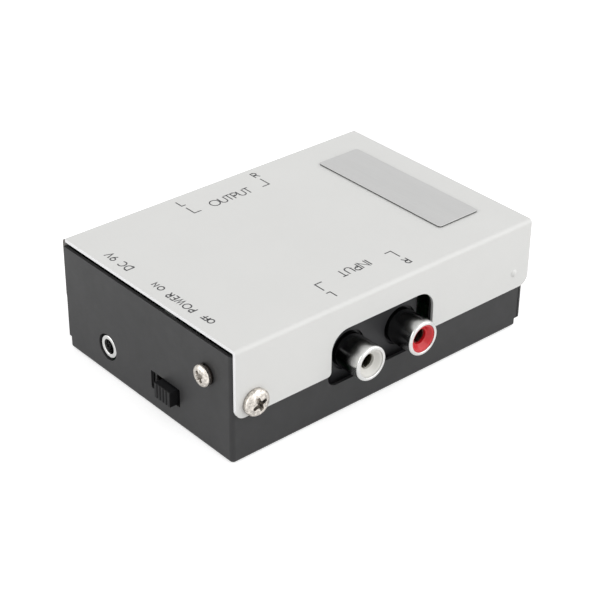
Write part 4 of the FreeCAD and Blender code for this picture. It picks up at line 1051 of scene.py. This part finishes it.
class Strokes:
    """A plain single-line alphabet: each letter is a width and the lines that draw it, one unit high."""

    BOWL: list[Pair] = [(0, 0), (0, 1), (0.28, 1), *arc((0.28, 0.74), (0.26, 0.26), 90, -90, 10), (0.28, 0.48),
                        (0, 0.48)]
    LETTERS: dict[str, tuple[float, list[list[Pair]]]] = {
        "C": (0.80, [arc((0.46, 0.5), (0.46, 0.5), 50, 310, 18)]),
        "D": (0.74, [[(0, 0), (0, 1), (0.28, 1)] + arc((0.28, 0.5), (0.46, 0.5), 90, -90, 14) + [(0.28, 0), (0, 0)]]),
        "E": (0.52, [[(0.52, 1), (0, 1), (0, 0), (0.52, 0)], [(0, 0.52), (0.46, 0.52)]]),
        "F": (0.50, [[(0.50, 1), (0, 1), (0, 0)], [(0, 0.52), (0.44, 0.52)]]),
        "I": (0.02, [[(0.01, 0), (0.01, 1)]]),
        "L": (0.48, [[(0, 1), (0, 0), (0.48, 0)]]),
        "N": (0.70, [[(0, 0), (0, 1), (0.70, 0), (0.70, 1)]]),
        "O": (0.96, [arc((0.48, 0.5), (0.48, 0.5), 90, 450, 26)]),
        "P": (0.54, [BOWL]),
        "R": (0.58, [BOWL, [(0.26, 0.48), (0.58, 0)]]),
        "T": (0.60, [[(0, 1), (0.60, 1)], [(0.30, 1), (0.30, 0)]]),
        "U": (0.64, [[(0, 1), (0, 0.32)] + arc((0.32, 0.32), (0.32, 0.32), 180, 360, 12) + [(0.64, 1)]]),
        "V": (0.72, [[(0, 1), (0.36, 0), (0.72, 1)]]),
        "W": (1.00, [[(0, 1), (0.26, 0), (0.50, 0.9), (0.74, 0), (1.0, 1)]]),
        "9": (0.60, [arc((0.30, 0.70), (0.30, 0.30), 0, 360, 18), [(0.585, 0.60), (0.52, 0.40), (0.24, 0.0)]]),
        " ": (0.30, []),
    }

    @classmethod
    def layout(cls, word: str, height: float, length: float) -> list[list[Vector]]:
        """Lays out a word's lines.

        Args:
            word: The word to draw.
            height: Height of its letters.
            length: Its whole length, which sets the gaps.

        Returns:
            Lines of points, read along u with v up.
        """
        widths = [cls.LETTERS[c][0] * height for c in word]
        gap = (length - sum(widths)) / max(1, len(word) - 1)
        lines = []
        at = 0.0
        for letter, width in zip(word, widths):
            for line in cls.LETTERS[letter][1]:
                lines.append([Vector((at + u * height, v * height)) for u, v in line])
            at += width + gap
        return lines


@dataclass(frozen=True)
class Mark:
    """One printed word: where it starts, which way it reads and how large it is."""

    start: Pair
    reading: Pair
    word: str
    height: float
    length: float

    def lines(self) -> list[list[Vector]]:
        """The word's lines in plan, in millimetres."""
        along = Vector(self.reading)
        up = Vector((-along.y, along.x))
        foot = Vector(self.start)
        return [[foot + along * p.x + up * p.y for p in line]
                for line in Strokes.layout(self.word, self.height, self.length)]


@dataclass
class Printing:
    """The plain grey words and brackets on the cover that say what each socket and the switch are."""

    top_z: float = 28.5
    stroke: float = 0.32
    film: float = 0.012
    sunk: float = 0.01
    sharpest: float = 0.45
    marks: tuple[Mark, ...] = (
        Mark((-8.6, 20.75), (1, 0), "OUTPUT", 2.6, 11.9),
        Mark((-14.3, 25.7), (1, 0), "L", 2.4, 1.2),
        Mark((8.2, 25.85), (1, 0), "R", 2.3, 1.4),
        Mark((1.5, -19.95), (-1, 0), "INPUT", 2.5, 8.5),
        Mark((-13.4, -25.3), (-1, 0), "L", 2.25, 1.1),
        Mark((9.0, -25.0), (-1, 0), "R", 2.2, 1.3),
        Mark((-39.5, 9.8), (0, 1), "DC 9V", 2.0, 8.6),
        Mark((-39.5, -1.75), (0, 1), "ON", 1.5, 3.25),
        Mark((-39.5, -12.95), (0, 1), "POWER", 1.9, 9.0),
        Mark((-39.5, -19.05), (0, 1), "OFF", 1.5, 3.35),
    )
    brackets: tuple[tuple[Pair, ...], ...] = (
        ((-14.0, 24.45), (-14.0, 21.2), (-12.0, 21.2)),
        ((8.58, 24.75), (8.58, 21.3), (6.5, 21.3)),
        ((-14.0, -24.1), (-14.0, -21.0), (-12.0, -21.0)),
        ((8.58, -23.85), (8.58, -20.8), (6.8, -20.8)),
    )

    def ribbon(self, line: Sequence[Vector]) -> bmesh.types.BMesh:
        """Widens one line into a thin flat film with mitred corners."""
        closed = (line[0] - line[-1]).length < 1e-4 and len(line) > 3
        points = list(line[:-1]) if closed else list(line)
        count = len(points)
        half = self.stroke / 2
        left, right = [], []
        for i, here in enumerate(points):
            before = points[i - 1] if closed or i > 0 else here
            after = points[(i + 1) % count] if closed or i < count - 1 else here
            into = (here - before).normalized() if before is not here else (after - here).normalized()
            out = (after - here).normalized() if after is not here else into
            side = Vector((-into.y, into.x)) + Vector((-out.y, out.x))
            side = side.normalized()
            stretch = half / max(self.sharpest, side.dot(Vector((-into.y, into.x))))
            left.append(here + side * stretch)
            right.append(here - side * stretch)
        mesh = bmesh.new()
        levels = (self.top_z - self.sunk, self.top_z + self.film)
        rails = [[mesh.verts.new(Vector((p.x, p.y, z)) * MM) for p in rail]
                 for rail, z in ((left, levels[0]), (left, levels[1]), (right, levels[1]), (right, levels[0]))]
        last = count if closed else count - 1
        for k in range(last):
            after = (k + 1) % count
            for a in range(4):
                b = (a + 1) % 4
                mesh.faces.new((rails[a][k], rails[b][k], rails[b][after], rails[a][after]))
        if not closed:
            mesh.faces.new([rail[0] for rail in rails])
            mesh.faces.new([rail[-1] for rail in reversed(rails)])
        bmesh.ops.recalc_face_normals(mesh, faces=mesh.faces)
        return mesh

    def build(self, shop: Workshop, effects: Effects) -> None:
        """Prints every mark as one thin piece."""
        ink = Finish("printed_ink", (0.045, 0.045, 0.048), (0.45, 0.55), tone=0.15, grain=6.0, mottle=1.2,
                     relief=0.002).material(effects)
        lines = [line for mark in self.marks for line in mark.lines()]
        lines += [[Vector(p) for p in bracket] for bracket in self.brackets]
        films = [self.ribbon(line) for line in lines]
        shop.piece("cover_printing", merged(films), Slot.COVER, Body.CASE, material=ink)


# ---- Sockets


@dataclass
class AudioSocket:
    """One audio socket: a plated barrel with a rolled rim and a coloured insert with a funnel mouth."""

    bank: str
    place: str
    x: float
    side: int
    insert: Slot
    axis_z: float = 13.9
    root_y: float = 25.0
    front_y: float = 35.7
    radius: float = 4.2
    root_radius: float = 4.0
    root_length: float = 2.1
    wall: float = 0.5
    lip: float = 3.35
    setback: float = 0.3
    bore: float = 2.0
    step: float = 2.05
    throat: float = 1.85
    throat_depth: float = 1.8

    def barrel(self) -> list[Pair]:
        """The barrel's profile, from its root to its rolled rim and back down inside."""
        length = self.front_y - self.root_y
        inner = self.radius - self.wall
        rim = arc((self.radius - 0.42, length - 0.62), (0.42, 0.62), 0, 90, 10)
        mouth = arc((self.lip + 0.16, length - 0.16), (0.16, 0.16), 90, 180, 5)
        root = [(self.root_radius, 0.0), (self.root_radius, self.root_length), (self.radius, self.root_length)]
        return [(inner, 0.0), *root, *rim, *mouth, (self.lip, length - self.setback),
                (inner, length - self.setback)]

    def funnel(self) -> list[Pair]:
        """The insert's profile: a flat ring, a rounded step and a funnel down to the contact."""
        length = self.front_y - self.setback - self.root_y
        outer = self.radius - self.wall - 0.05
        face = self.lip - 0.05
        brim = arc((face - 0.30, length - 0.22), (0.22, 0.20), 90, 150, 5)
        return [(self.bore, 0.0), (outer, 0.0), (outer, length - 0.02), (face, length - 0.02), *brim,
                (self.step, length - 1.02), *arc((self.step, length - 1.22), (0.20, 0.20), 90, 180, 5),
                (self.throat, length - self.throat_depth), (self.bore, length - self.throat_depth)]

    def build(self, shop: Workshop) -> None:
        """Builds the barrel and the insert."""
        base = Vector((self.x, self.side * self.root_y, self.axis_z))
        out = Vector((0, self.side, 0))
        name = f"{self.bank}_{self.place}"
        shop.piece(f"{name}_barrel", lathe(self.barrel(), base, out), Slot.SLEEVE, Body.CASE)
        shop.piece(f"{name}_funnel", lathe(self.funnel(), base, out), self.insert, Body.CASE, [f"{name}_insert"])


@dataclass
class DcSocket:
    """The plated mouth of the DC socket in the near end panel."""

    place: Pair = (14.5, 7.5)
    front_x: float = -44.15
    root_x: float = -43.43
    radius: float = 2.85
    bore: float = 1.8
    neck: float = 2.45
    neck_length: float = 1.4

    def build(self, shop: Workshop) -> None:
        """Builds the mouth with a rolled outer edge and a chamfered bore."""
        depth = self.root_x - self.front_x
        profile = [(self.bore, -self.neck_length), (self.neck, -self.neck_length), (self.neck, 0.0), (self.radius, 0.0),
                   *arc((self.radius - 0.35, depth - 0.35), (0.35, 0.35), 0, 90, 6),
                   *arc((self.bore + 0.2, depth - 0.2), (0.2, 0.2), 90, 180, 5)]
        base = Vector((self.root_x, *self.place))
        shop.piece("dc_socket_mouth", lathe(profile, base, Vector((-1, 0, 0)), 64), Slot.SLEEVE, Body.CASE,
                   ["dc_socket_bushing"])


# ---- Switch and screws


@dataclass
class SwitchKnob:
    """The ribbed sliding knob of the power switch."""

    centre: Pair = (-8.55, 7.5)
    length: float = 5.5
    height: float = 3.8
    face_x: float = -46.5
    slider_x: Pair = (-42.8, -41.2)
    slider: Pair = (7.5, 4.4)
    ribs: int = 5
    rib_depth: float = 0.24
    crest: Pair = (0.26, 0.74)
    root: Pair = (0.08, 0.92)
    edge_bevel: float = 0.07

    def build(self, shop: Workshop) -> None:
        """Builds the ribbed key and the slider plate behind it."""
        y, z = self.centre
        half = self.length / 2
        pitch = self.length / self.ribs
        low, high = (share * pitch for share in self.crest)
        floor = self.face_x + self.rib_depth
        back = self.slider_x[0] + 0.1
        edge = [Vector((back, y - half))]
        for k in range(self.ribs):
            left = y - half + pitch * k
            last = k == self.ribs - 1
            if k:
                edge.append(Vector((floor, left + self.root[0] * pitch)))
            edge.append(Vector((self.face_x, left + (low if k else 0))))
            edge.append(Vector((self.face_x, left + (pitch if last else high))))
            if not last:
                edge.append(Vector((floor, left + self.root[1] * pitch)))
        edge.append(Vector((back, y + half)))
        key = prism(edge, z - self.height / 2, z + self.height / 2, along_z)
        shop.piece("switch_key", key, Slot.KNOB, Body.SWITCH, ["power_switch_knob"], bevel=self.edge_bevel)
        plate = rounded_outline(rectangle(y - self.slider[0] / 2, y + self.slider[0] / 2,
                                          z - self.slider[1] / 2, z + self.slider[1] / 2, 0.3))
        shop.piece("switch_slider", prism(plate, *self.slider_x, along_x), Slot.KNOB, Body.SWITCH,
                   bevel=self.edge_bevel)


@dataclass
class PanScrew:
    """A pan-head screw with a cross recess, its head standing on a face."""

    name: str
    node: str
    body: Body
    seat: Triple
    out: Triple
    turn: float
    radius: float = 3.2
    height: float = 2.0
    shank: float = 1.45
    length: float = 6.0
    pitch: float = 0.5
    plain: float = 0.8
    thread_depth: float = 0.22
    splay: float = 1.35

    def profile(self) -> list[Pair]:
        """The screw's profile from the top of its dome down to its tip, with shallow thread rings."""
        side = 0.40 * self.height
        dome = arc((self.radius * 0.42, side), (self.radius * 0.58, self.height - side), 90, 0, 12)
        points = [(0.0, self.height), *dome, (self.radius - 0.12, 0.0), (self.shank, 0.0)]
        turns = int((self.length - 2 * self.plain) / self.pitch)
        for k in range(turns):
            at = -self.plain - self.pitch * k
            points += [(self.shank, at), (self.shank - self.thread_depth, at - self.pitch / 2)]
        points += [(self.shank, -self.plain - self.pitch * turns), (self.shank - 0.4, -self.length),
                   (0.0, -self.length)]
        return points

    def recess(self) -> bmesh.types.BMesh:
        """The tapered cross that is cut into the head."""
        floor = self.height * 0.34
        top = self.height + 0.3
        mesh = bmesh.new()
        rings = []
        for level, arm, half in ((floor, 0.44 * self.radius, 0.30), (top, 0.62 * self.radius, 0.46)):
            root = half * self.splay
            points = [(arm, -half), (arm, half), (root, root), (half, arm), (-half, arm), (-root, root),
                      (-arm, half), (-arm, -half), (-root, -root), (-half, -arm), (half, -arm), (root, -root)]
            rings.append([mesh.verts.new((x, y, level)) for x, y in points])
        join_rings(mesh, rings)
        mesh.faces.new(rings[0])
        mesh.faces.new(rings[1])
        out = Vector(self.out)
        turn = Vector((0, 0, 1)).rotation_difference(out).to_matrix() @ Matrix.Rotation(math.radians(self.turn), 3, "Z")
        for vert in mesh.verts:
            vert.co = (Vector(self.seat) + turn @ vert.co) * MM
        bmesh.ops.recalc_face_normals(mesh, faces=mesh.faces)
        return mesh

    def build(self, shop: Workshop) -> None:
        """Builds the screw."""
        turned = lathe(self.profile(), Vector(self.seat), Vector(self.out), 72)
        shop.piece(self.name, turned, Slot.SCREW, self.body, [self.node], bevel=0.05, cutters=[self.recess()])


@dataclass
class SplitWasher:
    """The split spring washer under the earth screw."""

    seat: Triple = (-44.43, -21.7, 18.9)
    outer: float = 2.5
    inner: float = 1.75
    thickness: float = 0.55
    split: float = 0.5
    segments: int = 64

    def build(self, shop: Workshop, effects: Effects) -> None:
        """Builds the washer as a bent bar with a gap at its top, in a darker tone of the screws' metal."""
        mesh = bmesh.new()
        gap = math.asin(self.split / (self.inner + self.outer))
        rings = []
        for k in range(self.segments + 1):
            angle = gap + (2 * math.pi - 2 * gap) * k / self.segments
            ring = []
            for radius, depth in ((self.inner, 0), (self.outer, 0), (self.outer, self.thickness),
                                  (self.inner, self.thickness)):
                ring.append(mesh.verts.new(Vector((self.seat[0] - depth, self.seat[1] + radius * math.sin(angle),
                                                   self.seat[2] + radius * math.cos(angle))) * MM))
            rings.append(ring)
        join_rings(mesh, rings)
        mesh.faces.new(rings[0])
        mesh.faces.new(rings[-1])
        bmesh.ops.recalc_face_normals(mesh, faces=mesh.faces)
        # The washer is coloured darker than the screws.
        dark_washer_steel = Finish("dark_spring_steel", (0.060, 0.050, 0.045), (0.30, 0.42), metallic=1.0, tone=0.25, grain=3.0,
                        mottle=1.2, relief=0.006).material(effects)
        shop.piece("split_washer", mesh, Slot.SCREW, Body.WASHER, ["earth_washer"], bevel=0.06, material=dark_washer_steel)


# ---- The whole preamp


@dataclass
class Preamp:
    """The preamp: its sub-assemblies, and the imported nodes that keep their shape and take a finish."""

    frame: dict
    effects: Effects
    shop: Workshop
    softened: dict[str, float] = field(default_factory=lambda: {
        "input_jack_block": 0.15, "output_jack_block": 0.15, "dc_socket_body": 0.12, "op_amp_case": 0.06,
        "circuit_board": 0.06, "equaliser_capacitors": 0.12,
    })

    def dress_nodes(self) -> None:
        """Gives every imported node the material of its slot, with softened edges where they show."""
        slots = {row["node"]: row["material_slot"] for row in self.frame["record"]["subparts"]}
        for name, node in self.frame["nodes"].items():
            material = self.shop.materials[Slot(slots[name])]
            if node.material_slots:
                for held in node.material_slots:
                    held.material = material
            else:
                node.data.materials.append(material)
            if name in self.softened:
                weld = node.modifiers.new("weld", "WELD")
                weld.merge_threshold = WELD_DISTANCE * MM
                self.shop.soften(node, self.softened[name])
            LOG.info("node %s dressed in %s", name, slots[name])

    def assemblies(self) -> list[object]:
        """The sub-assemblies in the order that they are built."""
        sockets = [AudioSocket(bank, place, x, side, insert)
                   for bank, side in (("input", -1), ("output", 1))
                   for place, x, insert in (("left", -10.2, Slot.WHITE), ("right", 5.4, Slot.RED))]
        screws = [
            PanScrew("input_side_screw", "cover_screw_input_side", Body.CASE, (-39.0, -30.9, 14.6), (0, -1, 0), 20),
            PanScrew("output_side_screw", "cover_screw_output_side", Body.CASE, (-39.0, 30.9, 14.6), (0, 1, 0), 65),
            PanScrew("earth_terminal_screw", "earth_screw", Body.EARTH_SCREW, (-45.01, -21.7, 18.9), (-1, 0, 0), 35,
                     2.55, 1.35, 1.45, 6.2),
        ]
        return [Cover(), Tray(), BlankPlate(), *sockets, DcSocket(), SwitchKnob(), *screws]

    def build(self) -> None:
        """Builds everything."""
        self.dress_nodes()
        for part in self.assemblies():
            part.build(self.shop)
        SplitWasher().build(self.shop, self.effects)
        Printing().build(self.shop, self.effects)
        LOG.info("%d pieces built", self.shop.made)


# ---- Camera and light


@dataclass
class ViewPoint:
    """The camera, at the photograph's own angle and distance."""

    aim: Triple = (-4.966, -5.693, 14.0)
    azimuth: float = -41.025
    elevation: float = 31.306
    roll: float = 0.620
    distance: float = 388.849
    focal_pixels: float = 1702.96
    long_side: float = 600.0
    sensor: float = 36.0
    clip: Pair = (0.01, 20.0)

    def build(self) -> None:
        """Places the camera."""
        a, e, r = (math.radians(v) for v in (self.azimuth, self.elevation, self.roll))
        back = Vector((math.sin(a) * math.cos(e), -math.cos(a) * math.cos(e), math.sin(e)))
        level = Vector((0, 0, 1)).cross(back).normalized()
        rise = back.cross(level)
        right = level * math.cos(r) + rise * math.sin(r)
        up = rise * math.cos(r) - level * math.sin(r)
        data = bpy.data.cameras.new("photo_camera")
        data.sensor_width = self.sensor
        data.lens = self.focal_pixels / self.long_side * self.sensor
        data.clip_start, data.clip_end = self.clip
        camera = bpy.data.objects.new("photo_camera", data)
        place = (Vector(self.aim) + back * self.distance) * MM
        turn = Matrix((right, up, back)).transposed().to_4x4()
        camera.matrix_world = Matrix.Translation(place) @ turn
        bpy.context.scene.collection.objects.link(camera)
        bpy.context.scene.camera = camera


@dataclass(frozen=True)
class Softbox:
    """One square soft lamp, aimed at the middle of the preamp."""

    name: str
    place: Triple
    size: float
    power: float
    aim: Triple = (0, 0, 0.014)

    def build(self) -> None:
        """Places the lamp."""
        data = bpy.data.lights.new(self.name, "AREA")
        data.shape = "SQUARE"
        data.size = self.size
        data.energy = self.power
        lamp = bpy.data.objects.new(self.name, data)
        lamp.location = self.place
        ray = Vector(self.aim) - Vector(self.place)
        lamp.rotation_mode = "QUATERNION"
        lamp.rotation_quaternion = ray.to_track_quat("-Z", "Y")
        bpy.context.scene.collection.objects.link(lamp)


@dataclass
class Studio:
    """A pale floor that keeps the shadow, a white surround and soft lamps, in metres and watts."""

    surround: float = 0.56
    floor_colour: Triple = (0.80, 0.80, 0.80)
    floor_glow: float = 0.56
    floor_gloss: float = 0.30
    floor_reach: float = 4.0
    floor_z: float = -0.0001
    lamps: tuple[Softbox, ...] = (
        Softbox("key_softbox", (0.42, -0.70, 0.62), 1.60, 8.6),
        Softbox("left_softbox", (-0.85, 0.38, 0.36), 1.00, 4.6),
    )

    def world(self) -> None:
        """Gives the world an even white to the eye and to gloss, and a softer light to the rest."""
        world = bpy.data.worlds.new("surround")
        bpy.context.scene.world = world
        world.use_nodes = True
        world.node_tree.nodes.clear()
        graph = Graph(world.node_tree)
        rays = graph.add("ShaderNodeLightPath").outputs
        seen = graph.maths("MAXIMUM", rays["Is Camera Ray"], rays["Is Transmission Ray"])
        seen = graph.maths("MAXIMUM", seen, rays["Is Glossy Ray"])
        strength = graph.spread(seen, 0.0, 1.0, self.surround, 1.0)
        sky = graph.add("ShaderNodeBackground", {0: WHITE, 1: strength})
        output = graph.add("ShaderNodeOutputWorld")
        world.node_tree.links.new(sky.outputs[0], output.inputs[0])

    def floor(self) -> None:
        """Lays the floor just under the resting face."""
        mesh = bmesh.new()
        far = self.floor_reach
        square = rectangle(-far, far, -far, far, self.floor_z)
        mesh.faces.new([mesh.verts.new(corner) for corner in square])
        thing = Workshop.link("floor", mesh)
        thing.data.materials.append(self.floor_material())

    def floor_material(self) -> bpy.types.Material:
        """Makes the floor white to the eye where no shadow falls, and clear from below."""
        material = bpy.data.materials.new("pale_floor")
        material.use_nodes = True
        material.node_tree.nodes.clear()
        graph = Graph(material.node_tree)
        rays = graph.add("ShaderNodeLightPath").outputs
        seen = graph.maths("MAXIMUM", rays["Is Camera Ray"], rays["Is Transmission Ray"])
        eye = graph.maths("MULTIPLY", seen, self.floor_glow)
        gloss = graph.maths("MULTIPLY", rays["Is Glossy Ray"], self.floor_gloss)
        matt = graph.add("ShaderNodeBsdfDiffuse", {0: self.floor_colour + (1,)})
        glow = graph.add("ShaderNodeEmission", {0: WHITE, 1: graph.maths("ADD", eye, gloss)})
        both = graph.add("ShaderNodeAddShader", {0: matt.outputs[0], 1: glow.outputs[0]})
        below = graph.add("ShaderNodeNewGeometry").outputs["Backfacing"]
        clear = graph.add("ShaderNodeBsdfTransparent")
        sides = graph.add("ShaderNodeMixShader", {0: below, 1: both.outputs[0], 2: clear.outputs[0]})
        output = graph.add("ShaderNodeOutputMaterial")
        material.node_tree.links.new(sides.outputs[0], output.inputs[0])
        return material

    def build(self) -> None:
        """Builds the surround, the floor and the lamps."""
        bpy.context.scene.view_settings.view_transform = "Standard"
        self.world()
        self.floor()
        for lamp in self.lamps:
            lamp.build()


def plain(box: tuple[Vector, Vector]) -> list[list[float]]:
    """A box's two corners as plain lists."""
    return [[float(c) for c in corner] for corner in box]


def main() -> None:
    """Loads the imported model, builds the camera, the light and the preamp."""
    logging.basicConfig(level=logging.INFO, format="%(name)s: %(message)s", stream=sys.stdout)
    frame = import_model()
    ViewPoint().build()
    Studio().build()
    effects = Effects()
    materials = {slot: finish.material(effects) for slot, finish in all_finishes().items()}
    Preamp(frame, effects, Workshop(materials)).build()


if __name__ == "__main__":
    main()
